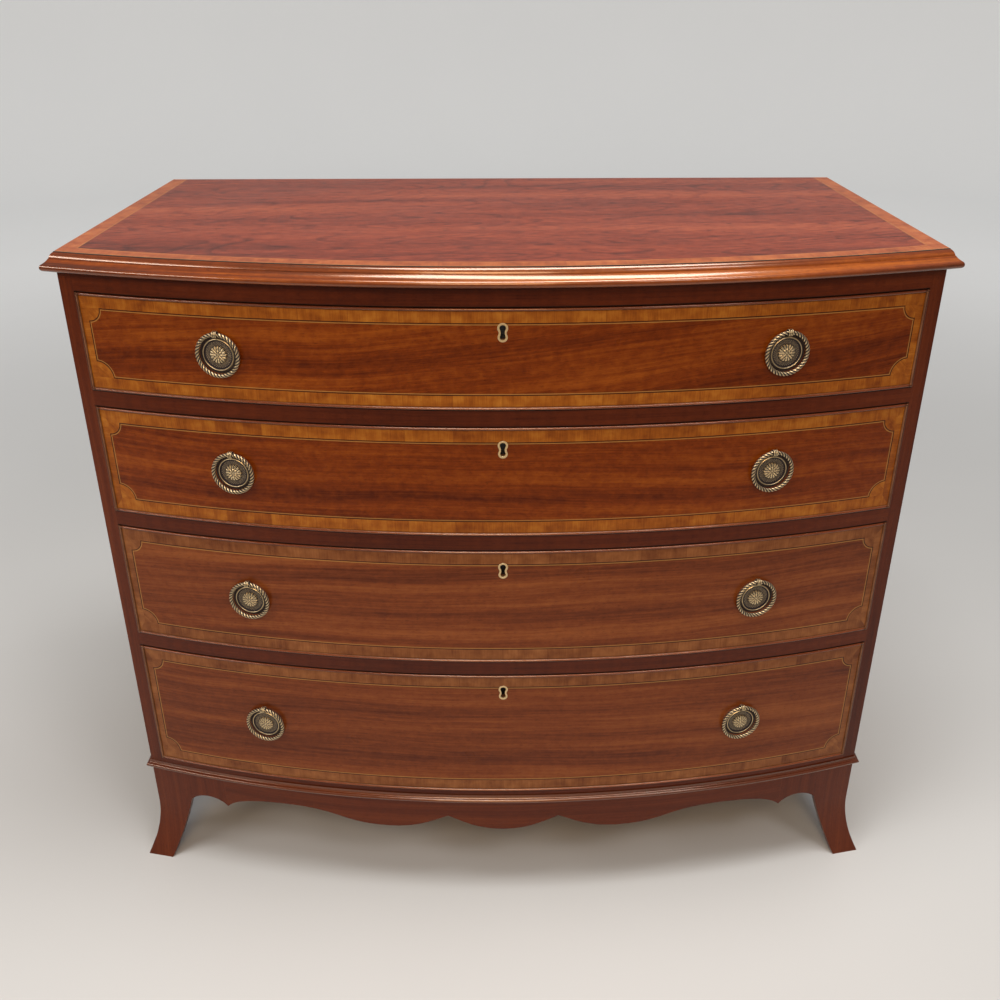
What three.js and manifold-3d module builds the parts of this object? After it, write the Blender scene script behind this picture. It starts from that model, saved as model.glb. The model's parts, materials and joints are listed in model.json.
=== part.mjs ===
// Bow front chest of four graduated drawers, in millimetres, with +Z up.
// X runs across the front, Y from front to back, and the feet stand on z = 0.
// While a piece is made, y = 0 is the plane through the two front corners of the carcase.

import * as THREE from 'three';
import { mergeVertices } from 'three/addons/utils/BufferGeometryUtils.js';
import Module from 'manifold-3d';

const wasm = await Module();
wasm.setup();

// Driving dimensions of the carcase
const carcaseWidth = 1040;
const carcaseDepth = 490;
const bowRise = 80;
const plinthHeight = 166.5;
const openingHeights = [122.5, 145, 167.5, 199];
const railHeight = 20.5;
const topRailHeight = 23;
const topThickness = 22;
const sideThickness = 18;
const bottomThickness = 18;
const backThickness = 10;

// How the carcase is joined
const housingDepth = 5;
const housingSetback = 8;
const backRabbet = 9;
const railReach = 20;
const topRailReach = 60;
const runnerWidth = 45;
const dustBoardThickness = 8;
const stopPlace = 250;
const stopWidth = 30;
const stopDepth = 14;
const stopHeight = 6;

// Edge of the top
const topOverhang = 15;
const topBackOverhang = 10;
const mouldingInset = 6;
const edgeOvoloHeight = 6.4;
const edgeOvoloProud = 4.9;
const edgeOvoloFullShare = 0.7;
const edgeFillet = 0.7;
const edgeHollow = 0.8;
const noseRadius = 4.3;
const noseLift = 1.2;
const noseTurn = THREE.MathUtils.degToRad(62);

// Moulding round the foot of the carcase
const baseMouldingHeight = 10.5;
const baseMouldingProud = 7;
const baseNoseRadius = 2.8;
const baseFilletHeight = 1.6;
const baseFilletProud = 1.6;

// Apron, skirts and splayed feet
const plinthThickness = 20;
const footWing = 113;
const flareShare = 0.6;
const flareSide = 27;
const flareFront = 11;
const bracketDrop = 53;
const bracketInset = 55.5;
const toeInset = 12;
const sideBracketInset = 60;
const sideToeInset = 26;
const bracketBow = 5;
const archCrown = 17;
const longArchDrop = 31;
const longArchPlace = 307;
const lobePlace = 165;
const notchPlace = 79;
const notchDrop = 29.5;
const sideArchDrop = 34.5;
const backBracketWidth = 110;

// Drawers
const drawerGap = 1;
const runningGap = 0.3;
const drawerTopGap = 3;
const drawerBackGap = 10;
const frontThickness = 20.5;
const frontShoulder = 13;
const beadWidth = 3;
const beadProud = 2.5;
const drawerSideThickness = 10;
const drawerBackThickness = 10;
const drawerBackDrop = 6;
const drawerBottomThickness = 6;
const bottomRise = 10;
const grooveDepth = 4;

// Dovetails
const tailPitch = 47;
const tailLength = 15;
const tailRootShare = 0.42;
const tailTipShare = 0.62;
const tailFit = 0.2;

// Ring pulls, each drawer's pair set a little above or below its middle
const handleSpan = 658;
const handleDrops = [2, -1.5, 4, 2];
const plateRadius = 18.5;
const plateFlange = 3;
const plateLip = 0.6;
const plateRim = 3.8;
const plateRimWidth = 2.2;
const plateFloor = 2;
const floretRadius = 9.5;
const floretHeight = 6.2;
const ringRadius = 25;
const wireRadius = 2.3;
const wireSides = 4;
const wireTwists = 8;
const stepsPerTwist = 6;
const pivotProud = 5.2;
const eyeWidth = 6;
const eyeWall = 1.6;
const eyeClearance = 0.5;
const lugProud = 4;
const shankRadius = 2.5;
const nutRadius = 6;
const nutThickness = 4;

// Locks and their escutcheons
const lockWidth = 64;
const lockHeight = 44;
const lockDepth = 12;
const selvedgeWidth = 76;
const selvedgeThickness = 2;
const boltWidth = 18;
const boltDepth = 6;
const boltSink = 1;
const boltThrow = 8;
const keyDrop = 28;
const keyLobeRadius = 5.7;
const keyLobeSpacing = 11.2;
const keyWaist = 4.3;
const escutcheonBand = 1.7;
const escutcheonProud = 0.4;
const escutcheonLetIn = 1.8;
const lockKeyholeRise = 2.5;
const lockKeyholeDepth = 5;

// Fits and facets
const seam = 0.3;
const overrun = 2;
const bowSteps = 16;
const curveSteps = 7;
const roundSteps = 3;
const beadSteps = 3;
const turnedSteps = 14;
const footSteps = 4;
const stileSteps = 2;
const nutSides = 6;

// Sizes that follow from the driving dimensions
const halfWidth = carcaseWidth / 2;
const innerHalf = halfWidth - sideThickness;
const bowRadius = (halfWidth ** 2 + bowRise ** 2) / (2 * bowRise);
const bowCentre = bowRadius - bowRise;
const carcaseBottom = plinthHeight;
const firstOpeningBottom = carcaseBottom + bottomThickness;
const openings = stackOpenings();
const flareHeight = plinthHeight * flareShare;
const bracketTop = plinthHeight - bracketDrop;
const longArchPeak = plinthHeight - longArchDrop;
const notchPeak = plinthHeight - notchDrop;
const sideArchPeak = plinthHeight - sideArchDrop;
const topRailBottom = openings[0].top;
const carcaseTop = topRailBottom + topRailHeight;
const chestHeight = carcaseTop + topThickness;
const backInner = carcaseDepth - backThickness;
const frontHalf = innerHalf - drawerGap;
const shoulderPlane = bowY(frontHalf, -frontThickness);
const drawerSideInner = frontHalf - drawerSideThickness;
const drawerRear = backInner - drawerBackGap;
const overallDepth = carcaseDepth + topBackOverhang + bowRise + topOverhang;

// Finishes
const finishes = {
  mahogany: new THREE.MeshStandardMaterial({ color: 0x7a3d20, roughness: 0.34, metalness: 0 }),
  carcase: new THREE.MeshStandardMaterial({ color: 0x5e2c18, roughness: 0.38, metalness: 0 }),
  oak: new THREE.MeshStandardMaterial({ color: 0x9a7348, roughness: 0.7, metalness: 0 }),
  pine: new THREE.MeshStandardMaterial({ color: 0x8a6238, roughness: 0.8, metalness: 0 }),
  brass: new THREE.MeshStandardMaterial({ color: 0xa8956a, roughness: 0.36, metalness: 1 }),
  steel: new THREE.MeshStandardMaterial({ color: 0x5d5f66, roughness: 0.45, metalness: 1 })
};

// Heights of the drawer openings, from the top drawer down
function stackOpenings() {
  const stack = [];
  let bottom = firstOpeningBottom;
  for (let i = openingHeights.length - 1; i >= 0; i -= 1) {
    const top = bottom + openingHeights[i];
    stack.unshift({ bottom, top, handleHeight: (bottom + top) / 2 - handleDrops[i] });
    bottom = top + railHeight;
  }
  return stack;
}

// Depth of the bowed front at x, on the arc that stands `out` proud of the carcase
function bowY(x, out = 0) {
  return bowCentre - Math.sqrt((bowRadius + out) ** 2 - x ** 2);
}

// Points along the bowed front from one x to another
function bowLine(fromX, toX, out = 0, steps = bowSteps) {
  const points = [];
  for (let i = 0; i <= steps; i += 1) {
    const x = fromX + (toX - fromX) * i / steps;
    points.push(new THREE.Vector2(x, bowY(x, out)));
  }
  return points;
}

// Plan line of a moulding that runs along one side, round the bow and back along the other side
function roundTheFront(out, backY) {
  const half = halfWidth + out;
  return [new THREE.Vector2(-half, backY), ...bowLine(-half, half, out), new THREE.Vector2(half, backY)];
}

// Points of a curve or path as an outline
function pointsOf(path, steps = curveSteps) {
  return path.getPoints(steps);
}

// A solid of one outline, drawn square to an axis and run along it between two places
function extruded(outline, axis, from, to) {
  const shape = outline instanceof THREE.Shape ? outline : new THREE.Shape(outline);
  const depth = to - from;
  const options = { depth, bevelEnabled: false, curveSegments: roundSteps };
  const geometry = new THREE.ExtrudeGeometry(shape, options);
  const position = geometry.getAttribute('position');
  for (let i = 0; i < position.count; i += 1) {
    const across = position.getX(i);
    const up = position.getY(i);
    const far = position.getZ(i) > depth / 2;
    if (axis === 'x') position.setXYZ(i, far ? to : from, across, up);
    if (axis === 'y') position.setXYZ(i, across, far ? from : to, up);
    if (axis === 'z') position.setXYZ(i, across, up, far ? to : from);
  }
  return geometry;
}

// A rectangular block between two corners
function block(x0, x1, y0, y1, z0, z1) {
  const outline = [[x0, y0], [x1, y0], [x1, y1], [x0, y1]].map(([x, y]) => new THREE.Vector2(x, y));
  return extruded(outline, 'z', z0, z1);
}

// A skin through rings of equal count, closed by a flat cap at each end
function lofted(rings, firstCap, lastCap) {
  const count = rings[0].length;
  const positions = rings.flat().flatMap((point) => point.toArray());
  const faces = [];
  for (let i = 0; i < rings.length - 1; i += 1) {
    faces.push(...bandFaces(i * count, (i + 1) * count, count));
  }
  for (const [a, b, c] of THREE.ShapeUtils.triangulateShape(firstCap, [])) faces.push(a, c, b);
  const last = (rings.length - 1) * count;
  for (const [a, b, c] of THREE.ShapeUtils.triangulateShape(lastCap, [])) {
    faces.push(last + a, last + b, last + c);
  }
  return facingOut(indexed(positions, faces));
}

// A skin through rings that closes on its own first ring
function loopedSkin(rings) {
  const count = rings[0].length;
  const positions = rings.flat().flatMap((point) => point.toArray());
  const faces = [];
  for (let i = 0; i < rings.length; i += 1) {
    faces.push(...bandFaces(i * count, (i + 1) % rings.length * count, count));
  }
  return facingOut(indexed(positions, faces));
}

// Triangles between two rings of points
function bandFaces(first, second, count) {
  const faces = [];
  for (let j = 0; j < count; j += 1) {
    const k = (j + 1) % count;
    faces.push(first + j, first + k, second + k);
    faces.push(first + j, second + k, second + j);
  }
  return faces;
}

function indexed(positions, faces) {
  const geometry = new THREE.BufferGeometry();
  geometry.setAttribute('position', new THREE.Float32BufferAttribute(positions, 3));
  geometry.setIndex(faces);
  return geometry;
}

// Turns every triangle over if the skin encloses a negative volume
function facingOut(geometry) {
  const position = geometry.getAttribute('position');
  const index = geometry.index.array;
  const corner = (i) => new THREE.Vector3().fromBufferAttribute(position, index[i]);
  let volume = 0;
  for (let i = 0; i < index.length; i += 3) {
    volume += corner(i).dot(corner(i + 1).cross(corner(i + 2)));
  }
  if (volume < 0) index.reverse();
  return geometry;
}

// Joins and cuts
function solid(geometry) {
  const bare = geometry.clone();
  bare.deleteAttribute('normal');
  bare.deleteAttribute('uv');
  const merged = mergeVertices(bare);
  const vertProperties = Float32Array.from(merged.getAttribute('position').array);
  const triVerts = Uint32Array.from(merged.index.array);
  return new wasm.Manifold(new wasm.Mesh({ numProp: 3, vertProperties, triVerts }));
}

function joined(...geometries) {
  return skinOf(geometries.map(solid).reduce((sum, piece) => sum.add(piece)));
}

function cut(geometry, ...tools) {
  return skinOf(tools.map(solid).reduce((rest, tool) => rest.subtract(tool), solid(geometry)));
}

function common(a, b) {
  return skinOf(solid(a).intersect(solid(b)));
}

function skinOf(piece) {
  const { vertProperties, triVerts } = piece.getMesh();
  return indexed(Array.from(vertProperties), Array.from(triVerts));
}

// The same piece for the other side of the chest
function mirrored(geometry) {
  const copy = geometry.clone();
  const position = copy.getAttribute('position');
  for (let i = 0; i < position.count; i += 1) position.setX(i, -position.getX(i));
  if (!copy.index) copy.setIndex([...Array(position.count).keys()]);
  return facingOut(copy);
}

// Top of the chest, inside its edge moulding
function topBoard() {
  const inset = -mouldingInset - seam;
  const half = halfWidth + inset;
  const backY = carcaseDepth + topBackOverhang;
  const outline = [new THREE.Vector2(half, backY), new THREE.Vector2(-half, backY)];
  outline.push(...bowLine(-half, half, inset));
  return extruded(outline, 'z', carcaseTop, chestHeight);
}

// Section of the edge of the top: an ovolo from its arris, a fillet, a shallow hollow and a round nose
function topMouldingProfile() {
  const noseCentre = topOverhang - noseRadius;
  const noseMiddle = carcaseTop + noseLift + noseRadius;
  const filletTop = chestHeight - edgeOvoloHeight;
  const filletFoot = filletTop - edgeFillet;
  const filletReach = edgeOvoloProud + edgeFillet;
  const noseEnd = new THREE.Vector2(Math.cos(noseTurn), Math.sin(noseTurn)).multiplyScalar(noseRadius);
  const hollowX = (noseCentre + noseEnd.x + filletReach) / 2 - edgeHollow;
  const hollowZ = (noseMiddle + noseEnd.y + filletFoot) / 2 - edgeHollow;
  const path = new THREE.Path();
  path.moveTo(-mouldingInset, carcaseTop);
  path.lineTo(0, carcaseTop);
  path.absarc(noseCentre, noseMiddle, noseRadius, -Math.PI / 2, noseTurn, false);
  path.quadraticCurveTo(hollowX, hollowZ, filletReach, filletFoot);
  path.lineTo(edgeOvoloProud, filletFoot);
  path.lineTo(edgeOvoloProud, filletTop);
  path.quadraticCurveTo(edgeOvoloProud * edgeOvoloFullShare, filletTop + edgeOvoloHeight * edgeOvoloFullShare,
    0, chestHeight);
  path.lineTo(-mouldingInset, chestHeight);
  return pointsOf(path, roundSteps);
}

// Section of the moulding at the foot of the carcase: a fillet, a cove and a round nose
function baseMouldingProfile() {
  const top = carcaseBottom + baseMouldingHeight;
  const noseCentre = baseMouldingProud - baseNoseRadius;
  const path = new THREE.Path();
  path.moveTo(seam, carcaseBottom);
  path.lineTo(noseCentre, carcaseBottom);
  path.absarc(noseCentre, carcaseBottom + baseNoseRadius, baseNoseRadius, -Math.PI / 2, Math.PI / 2);
  path.quadraticCurveTo(baseFilletProud, carcaseBottom + 2 * baseNoseRadius, baseFilletProud,
    top - baseFilletHeight);
  path.lineTo(baseFilletProud, top);
  path.lineTo(seam, top);
  return pointsOf(path, roundSteps);
}

// A section of reach and height swept along the plan line that each reach gives
function swept(profile, lineAt) {
  const lines = profile.map(({ x: out }) => lineAt(out));
  const rings = lines[0].map((_, station) => profile.map(({ y: z }, i) => {
    const { x, y } = lines[i][station];
    return new THREE.Vector3(x, y, z);
  }));
  return lofted(rings, profile, profile);
}

// Plan of a board between the sides, with its ends let into them behind the front edge
function housedPlan(half, ear, earFront, backY, out = 0) {
  const corners = [[half, earFront], [ear, earFront], [ear, backY]];
  const right = corners.map(([x, y]) => new THREE.Vector2(x, y));
  const left = corners.map(([x, y]) => new THREE.Vector2(-x, y)).reverse();
  return [...bowLine(-half, half, out), ...right, ...left];
}

// Board of the carcase between the sides
function housedBoard(backY, z0, z1) {
  const plan = housedPlan(innerHalf, innerHalf + housingDepth - seam, housingSetback + seam, backY);
  return extruded(plan, 'z', z0, z1);
}

// Mortise above a drawer's lock, which takes the bolt
function boltMortise(railBottom) {
  const front = lockFrontPlane();
  const half = boltWidth / 2 + seam;
  return block(-half, half, front - seam, front + boltDepth + seam, railBottom - overrun,
    railBottom + boltThrow);
}

// Blocks on a rail that stop the drawer front level with the carcase
function drawerStops(railTop) {
  const face = bowY(stopPlace + stopWidth / 2, -frontThickness) + seam;
  return [-stopPlace, stopPlace].map((x) => block(x - stopWidth / 2, x + stopWidth / 2, face,
    face + stopDepth, railTop - overrun, railTop + stopHeight));
}

// Rail, runners and dust board under a drawer
function drawerDivider(bottom) {
  const top = bottom + railHeight;
  const backY = backInner - seam;
  const recess = (railHeight - dustBoardThickness) / 2;
  const half = innerHalf - runnerWidth;
  const above = block(-half, half, railReach, backY + overrun, top - recess, top + overrun);
  const below = block(-half, half, railReach, backY + overrun, bottom - overrun, bottom + recess);
  const board = cut(housedBoard(backY, bottom, top), above, below, boltMortise(bottom));
  return joined(board, ...drawerStops(top));
}

function topRail() {
  return cut(housedBoard(topRailReach, topRailBottom, carcaseTop), boltMortise(topRailBottom));
}

function bottomBoard() {
  const board = housedBoard(backInner - seam, carcaseBottom, firstOpeningBottom);
  return joined(board, ...drawerStops(firstOpeningBottom));
}

// Stopped housing in a side for the end of a board
function housing(z0, z1, backY) {
  return block(innerHalf - overrun, innerHalf + housingDepth, housingSetback, backY, z0, z1 + seam);
}

// Right side of the carcase, its front edge shaped to the bow
function sidePanel() {
  const plan = [...bowLine(innerHalf, halfWidth, 0, stileSteps)];
  plan.push(new THREE.Vector2(halfWidth, carcaseDepth), new THREE.Vector2(innerHalf, carcaseDepth));
  const housings = openings.slice(1).map(({ top }) => housing(top, top + railHeight, backInner));
  housings.push(housing(carcaseBottom, firstOpeningBottom, backInner));
  housings.push(housing(topRailBottom, carcaseTop, topRailReach + seam));
  const rabbet = block(innerHalf - overrun, innerHalf + backRabbet, backInner, carcaseDepth + overrun,
    carcaseBottom - overrun, carcaseTop + overrun);
  return cut(extruded(plan, 'z', carcaseBottom, carcaseTop), rabbet, ...housings);
}

function backPanel() {
  const half = innerHalf + backRabbet - seam;
  return block(-half, half, backInner, carcaseDepth, carcaseBottom, carcaseTop);
}

// How far a foot has splayed at a height, as a share of its full flare
function flareShareAt(z) {
  return Math.max(0, 1 - z / flareHeight) ** 2;
}

// Heights at which the plinth's skin has a ring
function plinthLevels() {
  const levels = [];
  for (let i = 0; i <= curveSteps; i += 1) levels.push(flareHeight * i / curveSteps);
  levels.push(plinthHeight);
  return levels;
}

// A corner of the plinth: its plan points lean out towards the floor as their leans say
function splayed(points) {
  const levels = plinthLevels();
  const rings = levels.map((z) => points.map(({ x, y, leanX = 0, leanY = 0 }) => {
    const share = flareShareAt(z);
    return new THREE.Vector3(x + leanX * flareSide * share, y - leanY * flareFront * share, z);
  }));
  const flat = (ring) => ring.map(({ x, y }) => new THREE.Vector2(x, y));
  return lofted(rings, flat(rings[0]), flat(rings.at(-1)));
}

// Underside of a foot wing: the bracket's inner edge, then the small arch up to the cusp
function bracketOutline(corner, inward, topInset, toe, wing) {
  const at = (inset) => corner + inward * inset;
  const path = new THREE.Path();
  const bracketMiddle = (toe + topInset) / 2 + bracketBow;
  path.moveTo(at(toe), 0);
  path.quadraticCurveTo(at(bracketMiddle), bracketTop / 2, at(topInset), bracketTop);
  const crown = bracketTop + archCrown;
  path.bezierCurveTo(at(topInset + (wing - topInset) / 4), crown, at(wing - (wing - topInset) / 4), crown,
    at(wing), bracketTop);
  const outline = pointsOf(path);
  outline.push(new THREE.Vector2(at(wing + overrun), bracketTop));
  outline.push(new THREE.Vector2(at(wing + overrun), -overrun), new THREE.Vector2(at(toe), -overrun));
  return outline;
}

// Right front foot: a wing on the bow and a wing on the side, mitred into one splayed toe
function frontFoot() {
  const wingX = halfWidth - footWing;
  const innerX = halfWidth - plinthThickness;
  const outer = bowLine(wingX, halfWidth, 0, footSteps).map(({ x, y }) => ({ x, y, leanY: 1 }));
  outer.at(-1).leanX = 1;
  const inner = bowLine(innerX, wingX, -plinthThickness, footSteps).map(({ x, y }) => ({ x, y, leanY: 1 }));
  inner[0].leanX = 1;
  const side = [{ x: halfWidth, y: footWing, leanX: 1 }, { x: innerX, y: footWing, leanX: 1 }];
  const front = bracketOutline(halfWidth, -1, bracketInset, toeInset, footWing);
  const flank = bracketOutline(0, 1, sideBracketInset, sideToeInset, footWing);
  const frontCut = extruded(front, 'y', -bowRise, sideToeInset);
  const flankCut = extruded(flank, 'x', innerX - plinthThickness, halfWidth + flareSide + overrun);
  return cut(splayed([...outer, ...side, ...inner]), frontCut, flankCut);
}

// Right side of the plinth behind the front foot, ending in the rear foot and its back bracket
function sideSkirt() {
  const innerX = halfWidth - plinthThickness;
  const backWingX = halfWidth - backBracketWidth;
  const corners = [
    { x: halfWidth, y: footWing, leanX: 1 },
    { x: halfWidth, y: carcaseDepth, leanX: 1 },
    { x: backWingX, y: carcaseDepth },
    { x: backWingX, y: carcaseDepth - plinthThickness },
    { x: innerX, y: carcaseDepth - plinthThickness, leanX: 1 },
    { x: innerX, y: footWing, leanX: 1 }
  ];
  const rearFoot = bracketOutline(carcaseDepth, -1, sideBracketInset, sideToeInset, footWing);
  const rearCusp = carcaseDepth - footWing;
  const middle = (footWing + rearCusp) / 2;
  const ease = (middle - footWing) / 2;
  const arch = new THREE.Path();
  arch.moveTo(footWing - overrun, bracketTop);
  arch.lineTo(footWing, bracketTop);
  arch.bezierCurveTo(footWing, sideArchPeak, footWing + ease, sideArchPeak, middle, sideArchPeak);
  arch.bezierCurveTo(rearCusp - ease, sideArchPeak, rearCusp, sideArchPeak, rearCusp, bracketTop);
  arch.lineTo(rearCusp, -overrun);
  arch.lineTo(footWing - overrun, -overrun);
  const across = [backWingX - overrun, halfWidth + flareSide + overrun];
  const sideCuts = [extruded(pointsOf(arch), 'x', innerX - plinthThickness, across[1])];
  sideCuts.push(extruded(rearFoot, 'x', innerX - plinthThickness, across[1]));
  const back = new THREE.Path();
  back.moveTo(halfWidth - toeInset, 0);
  back.quadraticCurveTo(halfWidth - bracketInset, bracketTop / 2, across[0], bracketTop + archCrown);
  back.lineTo(across[0], -overrun);
  back.lineTo(halfWidth - toeInset, -overrun);
  const backCut = extruded(pointsOf(back), 'y', carcaseDepth - sideToeInset, carcaseDepth + overrun);
  return cut(splayed(corners), ...sideCuts, backCut);
}

// Half of the apron's lower edge, from the centre lobe out to the cusp at the foot
function apronEdge() {
  const cusp = halfWidth - footWing;
  const ease = notchPlace / 2;
  const path = new THREE.Path();
  path.moveTo(0, bracketTop);
  const shoulder = notchPeak - archCrown / 2;
  path.bezierCurveTo(ease, bracketTop, notchPlace - ease / 2, shoulder, notchPlace, notchPeak);
  const outward = (lobePlace - notchPlace) / 2;
  path.bezierCurveTo(notchPlace + ease / 2, shoulder, lobePlace - outward, bracketTop, lobePlace, bracketTop);
  const swell = (longArchPlace - lobePlace) / 2;
  path.bezierCurveTo(lobePlace + swell, bracketTop, longArchPlace - swell, longArchPeak, longArchPlace,
    longArchPeak);
  path.bezierCurveTo(cusp - (cusp - longArchPlace) / 4, longArchPeak, cusp - archCrown / 2,
    bracketTop + archCrown / 2, cusp, bracketTop);
  return pointsOf(path);
}

// Bowed apron between the feet, sawn to two lobes and a centre lobe on each side of its notches
function frontApron() {
  const half = halfWidth - footWing;
  const right = apronEdge();
  const left = right.slice(1).map(({ x, y }) => new THREE.Vector2(-x, y)).reverse();
  const face = [...left, ...right, new THREE.Vector2(half, plinthHeight)];
  face.push(new THREE.Vector2(-half, plinthHeight));
  const plan = [...bowLine(-half, half), ...bowLine(half, -half, -plinthThickness)];
  const blank = extruded(plan, 'z', 0, plinthHeight);
  return common(blank, extruded(face, 'y', -bowRise - overrun, plinthThickness + overrun));
}

// Dovetails of a drawer side: centre heights and half widths at root and tip
function tailsBetween(low, high) {
  const count = Math.max(2, Math.round((high - low) / tailPitch));
  const pitch = (high - low) / count;
  const tails = [];
  for (let i = 0; i < count; i += 1) {
    const centre = low + pitch * (i + 1 / 2);
    tails.push({ centre, root: pitch * tailRootShare / 2, tip: pitch * tailTipShare / 2 });
  }
  return tails;
}

// One tail as a prism through the thickness of a side, or its socket when grown by the fit
function tailPrism({ centre, root, tip }, rootY, tipY, x0, x1, grow = 0, past = 0) {
  const away = Math.sign(tipY - rootY);
  const slope = (tip - root) / Math.abs(tipY - rootY);
  const halfAt = (reach) => root + slope * reach + grow;
  const length = Math.abs(tipY - rootY) + past;
  const corners = [[-overrun, -1], [length, -1], [length, 1], [-overrun, 1]];
  const outline = corners.map(([reach, edge]) => new THREE.Vector2(rootY + away * reach,
    centre + edge * halfAt(reach)));
  return extruded(outline, 'x', x0, x1);
}

// Heights of one drawer's parts, from its opening
function drawerHeights({ bottom, top, handleHeight }) {
  const sideBottom = bottom + runningGap;
  const sideTop = top - drawerTopGap;
  const boardBottom = sideBottom + bottomRise;
  const backBottom = boardBottom + drawerBottomThickness + seam;
  return {
    frontBottom: bottom + drawerGap,
    frontTop: top - drawerGap,
    sideBottom,
    sideTop,
    boardBottom,
    backBottom,
    backTop: sideTop - drawerBackDrop,
    handleHeight
  };
}

// Where the tails of a drawer side start and end, front and back
function tailPlanes() {
  return {
    frontRoot: shoulderPlane + seam,
    frontTip: shoulderPlane + seam - tailLength,
    backRoot: drawerRear - drawerBackThickness,
    backTip: drawerRear
  };
}

// Half-round nose of the cock bead: places across its width, each with its reach from the face
function beadNose() {
  const radius = beadWidth / 2;
  return Array.from({ length: beadSteps + 1 }, (_, i) => {
    const turn = Math.PI * i / beadSteps;
    return { across: radius - radius * Math.cos(turn), out: beadProud - radius + radius * Math.sin(turn) };
  });
}

// Cock bead along the top or bottom edge of a drawer front
function longBead(z0) {
  const profile = [new THREE.Vector2(-beadProud, z0)];
  profile.push(...beadNose().map(({ across, out }) => new THREE.Vector2(out, z0 + across)));
  profile.push(new THREE.Vector2(-beadProud, z0 + beadWidth));
  return swept(profile, (out) => bowLine(-frontHalf, frontHalf, out));
}

// Cock bead up the right end of a drawer front
function endBead(z0, z1) {
  const onFace = (across, out) => new THREE.Vector2(frontHalf - across, bowY(frontHalf - across, out));
  const plan = [onFace(0, -beadProud), ...beadNose().map(({ across, out }) => onFace(across, out))];
  plan.push(onFace(beadWidth, -beadProud));
  return extruded(plan, 'z', z0, z1);
}

// Hourglass outline of the keyhole, larger by `grow` all round
function keyholeOutline(grow, height = 0) {
  const radius = keyLobeRadius + grow;
  const centre = keyLobeSpacing / 2;
  const waist = keyWaist + grow;
  const turn = THREE.MathUtils.degToRad(30);
  const shape = new THREE.Shape();
  shape.absarc(0, height + centre, radius, -turn, Math.PI + turn, false);
  const lobeX = radius * Math.cos(turn);
  const lobeZ = centre - radius * Math.sin(turn);
  shape.quadraticCurveTo(-waist, height, -lobeX, height - lobeZ);
  shape.absarc(0, height - centre, radius, Math.PI - turn, turn, false);
  shape.quadraticCurveTo(waist, height, lobeX, height + lobeZ);
  return shape;
}

// Plane of the lock's front plate, inside the drawer front
function lockFrontPlane() {
  return lockBackPlane() - lockDepth;
}

function lockBackPlane() {
  return bowY(lockWidth / 2, -frontThickness);
}

// Space of a drawer's lock, larger by `grow`
function lockBody(frontTop, grow = 0) {
  const front = lockFrontPlane() - grow;
  const back = lockBackPlane() + (grow ? overrun : 0);
  const half = lockWidth / 2 + grow;
  const rim = selvedgeWidth / 2 + grow;
  const top = frontTop + (grow ? overrun : 0);
  const box = block(-half, half, front, back, frontTop - lockHeight - grow, top);
  const selvedge = block(-rim, rim, front, back, frontTop - selvedgeThickness - grow, top);
  return joined(box, selvedge);
}

// Bore through a drawer front for the shank of a ring pull
function shankBore(x, z) {
  const length = frontThickness + 2 * overrun;
  const bore = new THREE.CylinderGeometry(shankRadius + seam, shankRadius + seam, length, turnedSteps / 2);
  const share = 1 - frontThickness / 2 / bowRadius;
  const middleY = bowCentre - (bowCentre - bowY(x)) * share;
  return bore.rotateZ(Math.asin(x / bowRadius)).translate(x * share, middleY, z);
}

// Bowed drawer front with its cock bead, dovetail sockets, lock mortise, keyhole and bores
function drawerFront(heights) {
  const { frontBottom, frontTop, sideBottom, sideTop, boardBottom, handleHeight } = heights;
  const { frontRoot, frontTip } = tailPlanes();
  const shoulderX = frontHalf - frontShoulder;
  const plan = [...bowLine(-frontHalf, frontHalf), new THREE.Vector2(frontHalf, shoulderPlane)];
  plan.push(new THREE.Vector2(shoulderX, shoulderPlane), ...bowLine(shoulderX, -shoulderX, -frontThickness));
  plan.push(new THREE.Vector2(-shoulderX, shoulderPlane), new THREE.Vector2(-frontHalf, shoulderPlane));
  const rightBead = endBead(frontBottom, frontTop);
  const board = joined(extruded(plan, 'z', frontBottom, frontTop), longBead(frontBottom),
    longBead(frontTop - beadWidth), rightBead, mirrored(rightBead));
  const sockets = tailsBetween(sideBottom, sideTop).map((tail) => tailPrism(tail, frontRoot, frontTip,
    drawerSideInner - tailFit, frontHalf + overrun, tailFit, tailFit));
  const grooveLine = bowLine(-shoulderX, shoulderX, grooveDepth - frontThickness);
  grooveLine.push(new THREE.Vector2(shoulderX, shoulderPlane + overrun));
  grooveLine.push(new THREE.Vector2(-shoulderX, shoulderPlane + overrun));
  const groove = extruded(grooveLine, 'z', boardBottom, boardBottom + drawerBottomThickness + seam);
  const keyZ = frontTop - keyDrop;
  const face = bowY(0);
  const inlay = extruded(keyholeOutline(seam, keyZ), 'y', face - overrun, face + escutcheonLetIn + seam);
  const keyhole = extruded(keyholeOutline(-escutcheonBand, keyZ), 'y', face, lockFrontPlane() + overrun);
  const bores = [-handleSpan / 2, handleSpan / 2].map((x) => shankBore(x, handleHeight));
  return cut(board, ...sockets, ...sockets.map(mirrored), groove, lockBody(frontTop, seam), inlay, keyhole,
    ...bores);
}

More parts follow.
